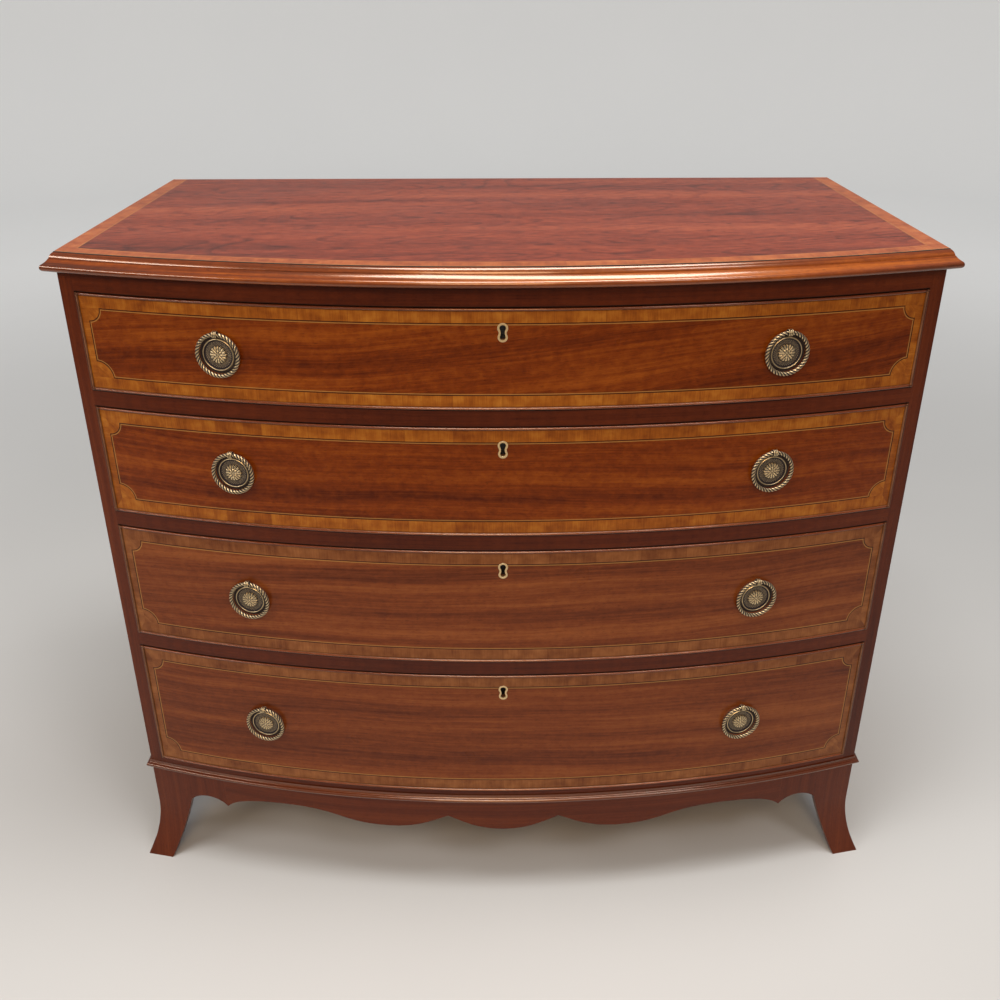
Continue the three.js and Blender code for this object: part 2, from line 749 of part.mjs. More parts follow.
// Right side of a drawer, with its tails front and back and the groove for the bottom
function drawerSide(heights) {
  const { sideBottom, sideTop, boardBottom, backBottom, backTop } = heights;
  const { frontRoot, frontTip, backRoot, backTip } = tailPlanes();
  const board = block(drawerSideInner, frontHalf, frontRoot, backRoot, sideBottom, sideTop);
  const frontTails = tailsBetween(sideBottom, sideTop).map((tail) => tailPrism(tail, frontRoot, frontTip,
    drawerSideInner, frontHalf));
  const backTails = tailsBetween(backBottom, backTop).map((tail) => tailPrism(tail, backRoot, backTip,
    drawerSideInner, frontHalf));
  const groove = block(drawerSideInner - overrun, drawerSideInner + grooveDepth, frontRoot - overrun,
    drawerRear + overrun, boardBottom, boardBottom + drawerBottomThickness + seam);
  return cut(joined(board, ...frontTails, ...backTails), groove);
}

// Back of a drawer, socketed for the tails of both sides
function drawerBack({ backBottom, backTop }) {
  const { backRoot, backTip } = tailPlanes();
  const board = block(-frontHalf, frontHalf, backRoot + seam, backTip, backBottom, backTop);
  const sockets = tailsBetween(backBottom, backTop).map((tail) => tailPrism(tail, backRoot, backTip,
    drawerSideInner - tailFit, frontHalf + overrun, tailFit, overrun));
  return cut(board, ...sockets, ...sockets.map(mirrored));
}

// Bottom of a drawer, shaped to the bow and let into the front and the sides
function drawerBottom({ boardBottom }) {
  const half = frontHalf - frontShoulder - seam;
  const plan = housedPlan(half, drawerSideInner + grooveDepth - seam, shoulderPlane + seam, drawerRear,
    grooveDepth - frontThickness - seam);
  return extruded(plan, 'z', boardBottom, boardBottom + drawerBottomThickness);
}

// Lock case with its selvedge, the withdrawn bolt and the keyhole
function drawerLock({ frontTop }) {
  const front = lockFrontPlane();
  const bolt = block(-boltWidth / 2, boltWidth / 2, front + seam, front + boltDepth, frontTop - boltSink,
    frontTop + overrun);
  const keyZ = frontTop - keyDrop + lockKeyholeRise;
  const keyhole = extruded(keyholeOutline(-escutcheonBand, keyZ), 'y', front - overrun,
    front + lockKeyholeDepth);
  return cut(lockBody(frontTop), bolt, keyhole);
}

// Thin brass outline let into the drawer front round the keyhole
function drawerEscutcheon({ frontTop }) {
  const keyZ = frontTop - keyDrop;
  const shape = keyholeOutline(0, keyZ);
  shape.holes.push(new THREE.Path(keyholeOutline(-escutcheonBand, keyZ).getPoints(roundSteps)));
  return extruded(shape, 'y', bowY(0) - escutcheonProud, bowY(0) + escutcheonLetIn);
}

// A turned piece whose axis points out of the drawer front
function turned(profile) {
  const lathe = new THREE.LatheGeometry(profile.map(([r, h]) => new THREE.Vector2(r, h)), turnedSteps);
  const position = lathe.getAttribute('position');
  for (let i = 0; i < position.count; i += 1) {
    position.setXYZ(i, position.getX(i), -position.getY(i), position.getZ(i));
  }
  return facingOut(lathe);
}

// Round plate of a ring pull: sloping flange, raised rim, sunk ring and domed floret
function plateDisc() {
  const innerRim = plateRadius - plateRimWidth;
  const domeStep = floretRadius / 2;
  return turned([
    [0, seam],
    [plateRadius + plateFlange, seam],
    [plateRadius + plateFlange, seam + plateLip],
    [plateRadius, plateRim - plateRimWidth / 2],
    [plateRadius - plateRimWidth / 2, plateRim],
    [innerRim, plateFloor],
    [floretRadius, plateFloor],
    [domeStep, floretHeight - seam],
    [0, floretHeight]
  ]);
}

// Lug above the plate, bored across for the ring
function plateLug() {
  const hole = wireRadius + eyeClearance;
  const eye = hole + eyeWall;
  const low = plateRadius - plateRimWidth;
  const shape = new THREE.Shape();
  shape.moveTo(-seam, low);
  shape.lineTo(-seam, ringRadius + eye);
  shape.lineTo(-pivotProud, ringRadius + eye);
  shape.absarc(-pivotProud, ringRadius, eye, Math.PI / 2, 3 * Math.PI / 2, false);
  shape.lineTo(-lugProud, low);
  const bore = new THREE.Path();
  bore.absarc(-pivotProud, ringRadius, hole, 0, 2 * Math.PI, true);
  shape.holes.push(bore);
  return extruded(shape, 'x', -eyeWidth / 2, eyeWidth / 2);
}

// Plate, lug, shank through the drawer front and nut inside it, about the middle of the plate
function handlePlate() {
  const length = frontThickness + nutThickness + plateFloor;
  const shank = new THREE.CylinderGeometry(shankRadius, shankRadius, length, turnedSteps / 2);
  shank.translate(0, length / 2 - plateFloor / 2, 0);
  const nut = new THREE.CylinderGeometry(nutRadius, nutRadius, nutThickness, nutSides);
  nut.translate(0, frontThickness + seam + nutThickness / 2, 0);
  return joined(plateDisc(), plateLug(), shank, nut);
}

// Twisted ring about its pivot: a square wire turned along its length
function twistedRing() {
  const steps = wireTwists * stepsPerTwist;
  const rings = [];
  for (let i = 0; i < steps; i += 1) {
    const around = 2 * Math.PI * i / steps;
    const section = [];
    for (let k = 0; k < wireSides; k += 1) {
      const turn = 2 * Math.PI * (k / wireSides + i / stepsPerTwist);
      const reach = ringRadius + wireRadius * Math.cos(turn);
      const y = wireRadius * Math.sin(turn);
      section.push(new THREE.Vector3(reach * Math.sin(around), y, reach * Math.cos(around) - ringRadius));
    }
    rings.push(section);
  }
  return loopedSkin(rings);
}

// Assembly
const chest = new THREE.Group();
chest.position.y = bowRise + topOverhang - overallDepth / 2;

function add(group, name, geometry, finish) {
  const shaded = geometry.index ? geometry.toNonIndexed() : geometry;
  shaded.computeVertexNormals();
  const mesh = new THREE.Mesh(shaded, finish);
  mesh.name = name;
  group.add(mesh);
  return mesh;
}

function addPair(group, name, rightGeometry, finish) {
  add(group, `${name}_left`, mirrored(rightGeometry), finish);
  add(group, `${name}_right`, rightGeometry, finish);
}

function addCarcase(group) {
  const backY = carcaseDepth + topBackOverhang;
  add(group, 'top_board', topBoard(), finishes.mahogany);
  const topMoulding = swept(topMouldingProfile(), (out) => roundTheFront(out, backY));
  add(group, 'top_moulding', topMoulding, finishes.carcase);
  addPair(group, 'side_panel', sidePanel(), finishes.carcase);
  add(group, 'back_panel', backPanel(), finishes.pine);
  add(group, 'top_rail', topRail(), finishes.carcase);
  openings.slice(1).forEach(({ top }, i) => {
    add(group, `drawer_divider_${i + 1}`, drawerDivider(top), finishes.carcase);
  });
  add(group, 'bottom_board', bottomBoard(), finishes.carcase);
  const baseMoulding = swept(baseMouldingProfile(), (out) => roundTheFront(out, carcaseDepth));
  add(group, 'base_moulding', baseMoulding, finishes.carcase);
  add(group, 'front_apron', frontApron(), finishes.carcase);
  addPair(group, 'front_foot', frontFoot(), finishes.carcase);
  addPair(group, 'side_skirt', sideSkirt(), finishes.carcase);
}

// A ring pull stands square to the bow, its plate and its ring in groups of their own
function addRingPull(group, name, side, x, z) {
  const seat = new THREE.Group();
  seat.position.set(x, bowY(x), z);
  seat.rotation.z = Math.asin(x / bowRadius);
  const pivot = new THREE.Group();
  pivot.position.set(0, -pivotProud, ringRadius);
  add(seat, `${name}_handle_plate_${side}`, handlePlate(), finishes.brass);
  add(pivot, `${name}_ring_${side}`, twistedRing(), finishes.brass);
  seat.add(pivot);
  group.add(seat);
}

function addDrawer(group, name, opening) {
  const heights = drawerHeights(opening);
  add(group, `${name}_front`, drawerFront(heights), finishes.mahogany);
  addPair(group, `${name}_side`, drawerSide(heights), finishes.oak);
  add(group, `${name}_back`, drawerBack(heights), finishes.oak);
  add(group, `${name}_bottom`, drawerBottom(heights), finishes.oak);
  add(group, `${name}_lock`, drawerLock(heights), finishes.steel);
  add(group, `${name}_escutcheon`, drawerEscutcheon(heights), finishes.brass);
  addRingPull(group, name, 'left', -handleSpan / 2, heights.handleHeight);
  addRingPull(group, name, 'right', handleSpan / 2, heights.handleHeight);
}

addCarcase(chest);
openings.forEach((opening, i) => addDrawer(chest, `drawer_${i + 1}`, opening));

export default chest;
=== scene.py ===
"""Looks of a bow front chest of four drawers, in metres, with +Z up and the front towards -Y."""

import json
import logging
import math
from dataclasses import dataclass, replace
from enum import Enum
from typing import Any, Sequence

import bmesh
import bpy
import numpy as np
from mathutils import Matrix, Vector

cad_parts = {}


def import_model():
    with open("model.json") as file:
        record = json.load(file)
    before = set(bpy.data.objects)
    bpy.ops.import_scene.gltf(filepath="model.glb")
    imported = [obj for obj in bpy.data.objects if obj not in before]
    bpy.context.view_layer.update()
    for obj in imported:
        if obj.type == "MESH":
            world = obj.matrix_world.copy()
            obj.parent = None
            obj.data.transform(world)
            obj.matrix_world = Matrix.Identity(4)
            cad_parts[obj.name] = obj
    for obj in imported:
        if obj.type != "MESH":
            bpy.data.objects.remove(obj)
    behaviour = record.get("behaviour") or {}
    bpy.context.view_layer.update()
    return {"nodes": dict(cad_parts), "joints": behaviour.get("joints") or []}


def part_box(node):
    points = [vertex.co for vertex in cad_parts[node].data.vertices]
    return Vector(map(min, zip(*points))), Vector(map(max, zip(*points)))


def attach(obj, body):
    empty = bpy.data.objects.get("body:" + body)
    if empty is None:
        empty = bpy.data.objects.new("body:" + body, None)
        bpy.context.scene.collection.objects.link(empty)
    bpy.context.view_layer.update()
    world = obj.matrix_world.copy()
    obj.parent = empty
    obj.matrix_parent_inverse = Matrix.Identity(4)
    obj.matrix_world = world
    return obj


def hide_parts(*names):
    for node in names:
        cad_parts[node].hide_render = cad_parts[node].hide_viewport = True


log = logging.getLogger("bow_front_chest")

MM = 0.001
SMALL = 0.2 * MM
SIDE_PANEL = 18 * MM
Colour = tuple[float, float, float]
Point = Sequence[float]


class Slot(Enum):
    """The record's material slots."""

    FIGURED = "figured_mahogany"
    CARCASE = "carcase_mahogany"
    OAK = "oak"
    PINE = "pine"
    BRASS = "brass"
    STEEL = "steel"


class Grain(Enum):
    """The way that a solid piece's grain runs."""

    ACROSS = (0, 1, 2)
    DEEP = (1, 0, 2)
    UP = (2, 0, 1)


# The shapes: surfaces worked out as grids of points.


@dataclass(frozen=True)
class Bow:
    """The bowed front: a circular arc in plan, the same at every height."""

    radius: float = 1.73
    rise: float = 0.08
    corner_y: float = -0.2025
    half: float = 0.52

    @property
    def centre_y(self) -> float:
        """The y of the arc's centre."""
        return self.corner_y + self.radius - self.rise

    def y(self, x: np.ndarray | float, out: float | np.ndarray = 0.0) -> np.ndarray:
        """Depth of the arc at x: the centre's y less the root of (radius + out) squared less x squared."""
        return self.centre_y - np.sqrt((self.radius + out) ** 2 - np.asarray(x) ** 2)

    def arc(self, x: float) -> float:
        """Length along the arc from its middle to x."""
        return self.radius * math.asin(x / self.radius)

    def wrap(self, s: np.ndarray, z: np.ndarray, out: np.ndarray | float = 0.0) -> np.ndarray:
        """Points on the bow: the arc length s gives the angle s / radius, and `out` adds to the radius.

        Args:
            s: lengths along the arc from its middle.
            z: heights.
            out: how far each point stands proud.

        Returns:
            An array of points with a last axis of 3.
        """
        s, z, out = np.broadcast_arrays(s, z, out)
        angle = s / self.radius
        reach = self.radius + out
        return np.stack([reach * np.sin(angle), self.centre_y - reach * np.cos(angle), z], -1)


class Skin:
    """Grids of points gathered into one closed mesh with a flat map."""

    def __init__(self) -> None:
        """Starts with nothing in it."""
        self.points: list[np.ndarray] = []
        self.flats: list[np.ndarray] = []
        self.faces: list[Sequence[int]] = []
        self.count = 0

    def _take(self, points: np.ndarray, flat: np.ndarray | None) -> np.ndarray:
        """Adds points and their flat places, and returns their numbers in the grid's shape.

        Args:
            points: an array of points with a last axis of 3.
            flat: their flat places, or x and z where it is None.

        Returns:
            The points' numbers, in the grid's shape.
        """
        rows = points.reshape(-1, 3)
        if flat is None:
            flat_rows = rows[:, [0, 2]]
        else:
            flat_rows = np.broadcast_to(flat, points.shape[:-1] + (2,)).reshape(-1, 2)
        numbers = np.arange(len(rows)).reshape(points.shape[:-1]) + self.count
        self.points.append(rows)
        self.flats.append(flat_rows)
        self.count += len(rows)
        return numbers

    def grid(self, points: np.ndarray, flat: np.ndarray | None = None, round_u: bool = False,
             round_v: bool = False) -> None:
        """Adds the quads between neighbouring points of a grid.

        Args:
            points: an array of shape (u, v, 3).
            flat: the flat map's places, of shape (u, v, 2), or x and z where it is None.
            round_u: the last row meets the first.
            round_v: the last column meets the first.
        """
        numbers = self._take(points, flat)
        if round_u:
            numbers = np.vstack([numbers, numbers[:1]])
        if round_v:
            numbers = np.hstack([numbers, numbers[:, :1]])
        corners = (numbers[:-1, :-1], numbers[1:, :-1], numbers[1:, 1:], numbers[:-1, 1:])
        self.faces += np.stack(corners, -1).reshape(-1, 4).tolist()

    def lid(self, rim: np.ndarray, flat: np.ndarray | None = None) -> None:
        """Adds one flat face round a rim of points."""
        self.faces.append(tuple(self._take(rim, flat).tolist()))

    def tube(self, rings: np.ndarray, flat: np.ndarray | None = None) -> None:
        """Adds a grid of closed rings with a lid on its first and last ring.

        Args:
            rings: an array of shape (ring, point, 3).
            flat: flat places of shape (ring, point, 2), or x and z where it is None.
        """
        self.grid(rings, flat, round_v=True)
        for end in (0, -1):
            self.lid(rings[end], None if flat is None else flat[end])

    def piece(self, name: str, crease: float = 32.0) -> bpy.types.Object:
        """Makes the object: doubles merged, faces out, smooth but for edges that turn more than `crease`
        degrees.

        Args:
            name: the piece's name.
            crease: turn past which an edge is sharp, in degrees.

        Returns:
            The object, linked to the scene.
        """
        mesh = bpy.data.meshes.new(name)
        mesh.from_pydata(np.vstack(self.points).tolist(), [], self.faces)
        layer = mesh.uv_layers.new(name="flat")
        picks = np.zeros(len(mesh.loops), np.int32)
        mesh.loops.foreach_get("vertex_index", picks)
        layer.data.foreach_set("uv", np.vstack(self.flats)[picks].astype(np.float32).ravel())
        work = bmesh.new()
        work.from_mesh(mesh)
        bmesh.ops.remove_doubles(work, verts=work.verts, dist=0.004 * MM)
        bmesh.ops.dissolve_degenerate(work, edges=work.edges, dist=0.002 * MM)
        bmesh.ops.recalc_face_normals(work, faces=work.faces)
        work.to_mesh(mesh)
        work.free()
        mesh.polygons.foreach_set("use_smooth", np.ones(len(mesh.polygons), bool))
        mesh.set_sharp_from_angle(angle=math.radians(crease))
        piece = bpy.data.objects.new(name, mesh)
        bpy.context.scene.collection.objects.link(piece)
        return piece


def shares(count: int, ease: float = 0.0) -> np.ndarray:
    """Numbers from 0 to 1, drawn to both ends by `ease`: t less ease times sin(2 pi t) / 2 pi."""
    t = np.linspace(0, 1, count + 1)
    return t - ease * np.sin(2 * np.pi * t) / (2 * np.pi)


def quadratic(a: Point, b: Point, c: Point, steps: int) -> np.ndarray:
    """Points of the curve from a to c that b draws to itself: (1-t)^2 a + 2t(1-t) b + t^2 c.

    Args:
        a: the first point.
        b: the point that draws the curve.
        c: the last point.
        steps: steps from a to c.

    Returns:
        An array of steps + 1 points.
    """
    t = np.linspace(0, 1, steps + 1)[:, None]
    a, b, c = (np.asarray(p, float) for p in (a, b, c))
    return (1 - t) ** 2 * a + 2 * t * (1 - t) * b + t ** 2 * c


def cubic(a: Point, b: Point, c: Point, d: Point, steps: int) -> np.ndarray:
    """Points of the curve from a to d with b and c as its handles.

    Args:
        a: the first point.
        b: its handle.
        c: the last point's handle.
        d: the last point.
        steps: steps from a to d.

    Returns:
        An array of steps + 1 points.
    """
    t = np.linspace(0, 1, steps + 1)[:, None]
    a, b, c, d = (np.asarray(p, float) for p in (a, b, c, d))
    return (1 - t) ** 3 * a + 3 * t * (1 - t) ** 2 * b + 3 * t ** 2 * (1 - t) * c + t ** 3 * d


def turn_of(centre: Point, radius: float, start: float, end: float, steps: int) -> np.ndarray:
    """Points of a circle's arc from one angle to another, in degrees."""
    angle = np.radians(np.linspace(start, end, steps + 1))
    return np.stack([centre[0] + radius * np.cos(angle), centre[1] + radius * np.sin(angle)], -1)


def joined(*runs: np.ndarray) -> np.ndarray:
    """Runs of points one after another, with a point that repeats the one before it left out.

    Args:
        runs: arrays of points.

    Returns:
        One array of points.
    """
    points = np.vstack([np.atleast_2d(run) for run in runs])
    keep = np.append(True, np.linalg.norm(np.diff(points, axis=0), axis=1) > 0.01 * MM)
    return points[keep]


def lengths(points: np.ndarray) -> np.ndarray:
    """Length along a line of points at each of them."""
    return np.append(0, np.cumsum(np.linalg.norm(np.diff(points, axis=0), axis=1)))


# The finishes: woods, brass and steel.


class Tone:
    """A socket that can be added, multiplied and so on, each time by a Math node."""

    def __init__(self, bench: "Bench", socket: bpy.types.NodeSocket) -> None:
        """Wraps one output socket of the bench's tree."""
        self.bench = bench
        self.socket = socket

    def __add__(self, other: "Tone | float") -> "Tone":
        """This plus other."""
        return self.bench.math("ADD", self, other)

    def __sub__(self, other: "Tone | float") -> "Tone":
        """This less other."""
        return self.bench.math("SUBTRACT", self, other)

    def __rsub__(self, other: float) -> "Tone":
        """Other less this."""
        return self.bench.math("SUBTRACT", other, self)

    def __mul__(self, other: "Tone | float") -> "Tone":
        """This times other."""
        return self.bench.math("MULTIPLY", self, other)

    def __truediv__(self, other: "Tone | float") -> "Tone":
        """This over other."""
        return self.bench.math("DIVIDE", self, other)

    def __abs__(self) -> "Tone":
        """This without its sign."""
        return self.bench.math("ABSOLUTE", self)

    __radd__ = __add__
    __rmul__ = __mul__


class Bench:
    """One material's node tree, with its Principled shader."""

    def __init__(self, name: str, roughness: float = 0.4, **fixed: float | Sequence[float]) -> None:
        """Makes the material.

        Args:
            name: the material's name.
            roughness: the shader's own roughness.
            fixed: other numbers and colours for the shader's own sockets, with _ for a space.
        """
        self.material = bpy.data.materials.new(name)
        self.material.use_nodes = True
        self.tree = self.material.node_tree
        self.shader = self.tree.nodes["Principled BSDF"]
        self.shader.inputs["Roughness"].default_value = roughness
        for key, value in fixed.items():
            self.shader.inputs[key.replace("_", " ")].default_value = value

    def node(self, kind: str, settings: dict[str, Any] | None = None, **inputs: Any) -> bpy.types.Node:
        """Adds a node.

        Args:
            kind: the node's type, without its Shader prefix.
            settings: attributes that are set first; stops gives a ramp's positions and colours.
            inputs: values or links by number, as i0, i1 and so on.

        Returns:
            The node.
        """
        node = self.tree.nodes.new("ShaderNode" + kind)
        for key, value in (settings or {}).items():
            if key != "stops":
                setattr(node, key, value)
                continue
            ramp = node.color_ramp.elements
            while len(ramp) < len(value):
                ramp.new(0.5)
            for element, (place, colour) in zip(ramp, value):
                element.position = place
                element.color = (*colour, 1)
        for key, value in inputs.items():
            socket = node.inputs[int(key[1:])]
            if isinstance(value, Tone):
                self.tree.links.new(value.socket, socket)
            elif isinstance(value, tuple) and len(value) == 3 and socket.type == "RGBA":
                socket.default_value = (*value, 1)
            else:
                socket.default_value = value
        return node

    def math(self, operation: str, *values: Tone | float) -> Tone:
        """One Math node."""
        inputs = {f"i{i}": value for i, value in enumerate(values)}
        return Tone(self, self.node("Math", {"operation": operation}, **inputs).outputs[0])

    def least(self, a: Tone | float, b: Tone | float) -> Tone:
        """The smaller of two."""
        return self.math("MINIMUM", a, b)

    def most(self, a: Tone | float, b: Tone | float) -> Tone:
        """The larger of two."""
        return self.math("MAXIMUM", a, b)

    def rise(self, value: Tone, low: float, high: float) -> Tone:
        """0 below low, 1 above high and a smooth step between.

        Args:
            value: what is looked at.
            low: where the step starts.
            high: where it ends.

        Returns:
            A value from 0 to 1.
        """
        settings = {"interpolation_type": "SMOOTHSTEP"}
        node = self.node("MapRange", settings, i0=value, i1=low, i2=high, i3=0.0, i4=1.0)
        return Tone(self, node.outputs[0])

    def line(self, value: Tone, centre: float, half: float) -> Tone:
        """1 within `half` of the centre and 0 outside."""
        return 1 - self.rise(abs(value - centre), half - SMALL / 2, half + SMALL / 2)

    def vector(self, x: Tone | float, y: Tone | float, z: Tone | float = 0.0) -> Tone:
        """A vector of three values."""
        return Tone(self, self.node("CombineXYZ", i0=x, i1=y, i2=z).outputs[0])

    def parts(self, vector: Tone) -> tuple[Tone, Tone, Tone]:
        """A vector's three values."""
        node = self.node("SeparateXYZ", i0=vector)
        return tuple(Tone(self, socket) for socket in node.outputs)

    def place(self) -> tuple[Tone, Tone, Tone]:
        """The place on the object."""
        return self.parts(Tone(self, self.node("TexCoord").outputs["Object"]))

    def flat(self) -> tuple[Tone, Tone]:
        """The place on the flat map, in metres."""
        return self.parts(Tone(self, self.node("TexCoord").outputs["UV"]))[:2]

    def noise(self, x: Tone | float, y: Tone | float, z: Tone | float = 0.0, detail: float = 2.0,
              roughness: float = 0.5, distortion: float = 0.0) -> Tone:
        """Smooth noise about 0.5, one cell to each unit of the three places."""
        node = self.node("TexNoise", i0=self.vector(x, y, z), i2=1.0, i3=detail, i4=roughness, i8=distortion)
        return Tone(self, node.outputs[0])

    def draw(self, value: Tone, seed: float) -> Tone:
        """A number from 0 to 1 for each whole number.

        Args:
            value: its whole part picks the number.
            seed: sets one run of numbers apart from another.

        Returns:
            The number drawn.
        """
        place = self.vector(self.math("FLOOR", value), seed)
        node = self.node("TexWhiteNoise", {"noise_dimensions": "2D"}, i0=place)
        return Tone(self, node.outputs[0])

    def mix(self, factor: Tone | float, a: Tone | Colour, b: Tone | Colour, blend: str = "MIX") -> Tone:
        """A blend of two colours."""
        settings = {"data_type": "RGBA", "blend_type": blend, "clamp_factor": True}
        return Tone(self, self.node("Mix", settings, i0=factor, i6=a, i7=b).outputs[2])

    def ramp(self, value: Tone, *stops: tuple[float, Colour]) -> Tone:
        """A colour for each value, smooth between stops."""
        return Tone(self, self.node("ValToRGB", {"stops": stops}, i0=value).outputs[0])

    def dress(self, colour: Tone, roughness: Tone | None = None, height: Tone | None = None,
              depth: float = 0.1 * MM, **varied: Tone) -> bpy.types.Material:
        """Joins what varies to the shader.

        Args:
            colour: the base colour.
            roughness: the roughness, where it varies.
            height: the height of the fine relief, from 0 to 1.
            depth: what a height of 1 stands for.
            varied: other varied sockets, with _ for a space.

        Returns:
            The material.
        """
        self.tree.links.new(colour.socket, self.shader.inputs["Base Color"])
        if roughness is not None:
            self.tree.links.new(roughness.socket, self.shader.inputs["Roughness"])
        for key, value in varied.items():
            self.tree.links.new(value.socket, self.shader.inputs[key.replace("_", " ")])
        if height is not None:
            bump = self.node("Bump")
            bump.inputs["Distance"].default_value = depth
            self.tree.links.new(height.socket, bump.inputs["Height"])
            self.tree.links.new(bump.outputs[0], self.shader.inputs["Normal"])
        return self.material


@dataclass(frozen=True)
class Mahogany:
    """Polished mahogany: broad ribbons, fine streaks, a cross mottle and short dark pores.

    The lengths along the grain are drawn out, and those across it are crowded. The tone from 0 to 1 that they
    add up to picks a colour from dark through middle to light."""

    dark: Colour
    middle: Colour
    light: Colour
    ribbon: float = 30.0
    sweep: float = 0.03
    contrast: float = 1.0
    fine: float = 1.0
    streaks: float = 5.0
    weave: float = 280.0
    fleck: tuple[float, float] = (150.0, 800.0)
    fleck_depth: float = 0.38
    mottle: float = 0.16
    tilt: float = 0.0
    rings: float = 0.0
    seed: float = 0.0

    def figure(self, bench: Bench, along: Tone, across: Tone, third: Tone | float = 0.0) -> tuple[Tone, Tone]:
        """Colour and pores of the wood.

        Args:
            bench: the material's bench.
            along: place along the grain, in metres.
            across: place across the grain.
            third: place the third way, for a solid piece.

        Returns:
            The colour and the pores, which are 1 in a pore.
        """
        wander = bench.noise(along * 1.7 + self.seed, across * 4, third * 4, 2)
        bent = across + wander * self.sweep - along * self.tilt
        ribbon = bench.noise(along * 1.1 + self.seed, bent * self.ribbon, third * self.ribbon, 3, 0.55)
        streak = bench.noise(along * self.streaks + self.seed, bent * self.weave, third * self.weave, 4, 0.62)
        fibre = bench.noise(along * 26, bent * 1100 + self.seed, third * 1100, 2, 0.6)
        mottle = bench.noise(along * 75 + self.seed, bent * 95, third * 95, 3, 0.6, 0.4)
        fine = (streak - 0.5) * 0.55 + (fibre - 0.5) * 0.22
        tone = (ribbon - 0.5) * 1.25 + fine * self.fine + (mottle - 0.5) * self.mottle
        tone = tone * self.contrast + 0.5
        if self.rings:
            steps = bench.noise(along * 1.6 + self.seed, across * 5 - along * 0.9, third, 2) * self.rings
            tone = tone - bench.rise(bench.math("FRACT", steps), 0.70, 0.97) * 0.15
        colour = bench.ramp(tone, (0.2, self.dark), (0.5, self.middle), (0.8, self.light))
        pores = bench.rise(bench.noise(along * 95, bent * 2300 + self.seed, third * 2300, 1), 0.64, 0.74)
        long, short = self.fleck
        fleck = bench.rise(bench.noise(along * long + self.seed, bent * short, third * short, 1), 0.60, 0.74)
        hollow = tuple(c * 0.35 for c in self.dark)
        return bench.mix(bench.most(pores * 0.45, fleck * self.fleck_depth), colour, hollow), pores


# FIELD and UPPER_FIELD are one mahogany in two colourings, and the difference is painted light: the upper
# drawers' copy is darker and clearer as painted shade, and the lower drawers' copy is greyer as painted
# reflection of the lit floor.
FIELD = Mahogany((0.082, 0.016, 0.0036), (0.170, 0.040, 0.0085), (0.255, 0.074, 0.0170))
UPPER_FIELD = Mahogany((0.074, 0.0110, 0.0010), (0.160, 0.028, 0.0020), (0.265, 0.062, 0.0050))
TOP_FIELD = Mahogany((0.070, 0.0110, 0.0050), (0.205, 0.034, 0.0140), (0.320, 0.072, 0.0270), ribbon=13,
                     sweep=0.07, contrast=0.85, fine=2.0, streaks=40, weave=230, fleck=(60.0, 230.0),
                     fleck_depth=0.62, mottle=0.1, tilt=0.02, rings=26, seed=41)
PLAIN = Mahogany((0.055, 0.009, 0.0020), (0.100, 0.018, 0.0038), (0.150, 0.032, 0.0070))
# EDGE is the carcase mahogany made lighter and more orange for the top moulding: painted light, for the strong
# light that falls on it.
EDGE = Mahogany((0.060, 0.010, 0.0016), (0.165, 0.030, 0.0026), (0.340, 0.082, 0.0065), sweep=0.006,
                contrast=1.5, seed=31)
# FOOT_EDGE is PLAIN made a little darker for the base moulding: painted shade.
FOOT_EDGE = Mahogany((0.045, 0.008, 0.0020), (0.090, 0.016, 0.0034), (0.140, 0.030, 0.0060), sweep=0.003,
                     fine=0.4)
BEAD = Mahogany((0.085, 0.014, 0.0025), (0.135, 0.025, 0.0040), (0.190, 0.040, 0.0060), sweep=0.003, seed=71)


@dataclass(frozen=True)
class Crossband:
    """Paler crossbanding laid in short leaves, with its grain across the band."""

    dark: Colour = (0.160, 0.035, 0.0035)
    middle: Colour = (0.290, 0.084, 0.0075)
    light: Colour = (0.440, 0.165, 0.0190)
    leaf: float = 0.058

    def figure(self, bench: Bench, along: Tone, across: Tone, seed: float) -> Tone:
        """Colour of the band.

        Args:
            bench: the material's bench.
            along: place along the band, in metres.
            across: place across it.
            seed: sets one band apart from another.

        Returns:
            The colour.
        """
        leaf = bench.draw(along / self.leaf + seed, seed)
        leaf_part = bench.draw(along / (self.leaf * 0.37) + seed, seed + 3)
        stripe = bench.noise(along * 140 + seed, across * 22, seed, 4, 0.62)
        hair = bench.noise(along * 1500, across * 45, seed, 1)
        cloud = bench.noise(along * 50, across * 60 + seed, seed, 3)
        tone = (0.5 + (leaf - 0.5) * 0.17 + (leaf_part - 0.5) * 0.06 + (stripe - 0.5) * 0.55
                + (hair - 0.5) * 0.35 + (cloud - 0.5) * 0.90)
        colour = bench.ramp(tone, (0.2, self.dark), (0.5, self.middle), (0.85, self.light))
        half = self.leaf / 2
        joint = abs(bench.math("FRACT", along / self.leaf + seed) - 0.5) * self.leaf
        return bench.mix(bench.rise(joint, half - 0.7 * MM, half - 0.1 * MM) * 0.5, colour, self.dark)


BAND = Crossband()
# LOW_BAND is the lower drawers' copy of BAND, darker and greyer: painted shade with painted reflection of the lit
# floor.
LOW_BAND = Crossband((0.125, 0.034, 0.0080), (0.205, 0.068, 0.0180), (0.300, 0.116, 0.0340))
BANDS = (BAND, BAND, LOW_BAND, LOW_BAND)
TOP_BAND = Crossband((0.190, 0.040, 0.0120), (0.320, 0.078, 0.0210), (0.440, 0.138, 0.0400), 0.07)
EBONY: Colour = (0.010, 0.006, 0.004)
BOXWOOD: Colour = (0.420, 0.230, 0.060)


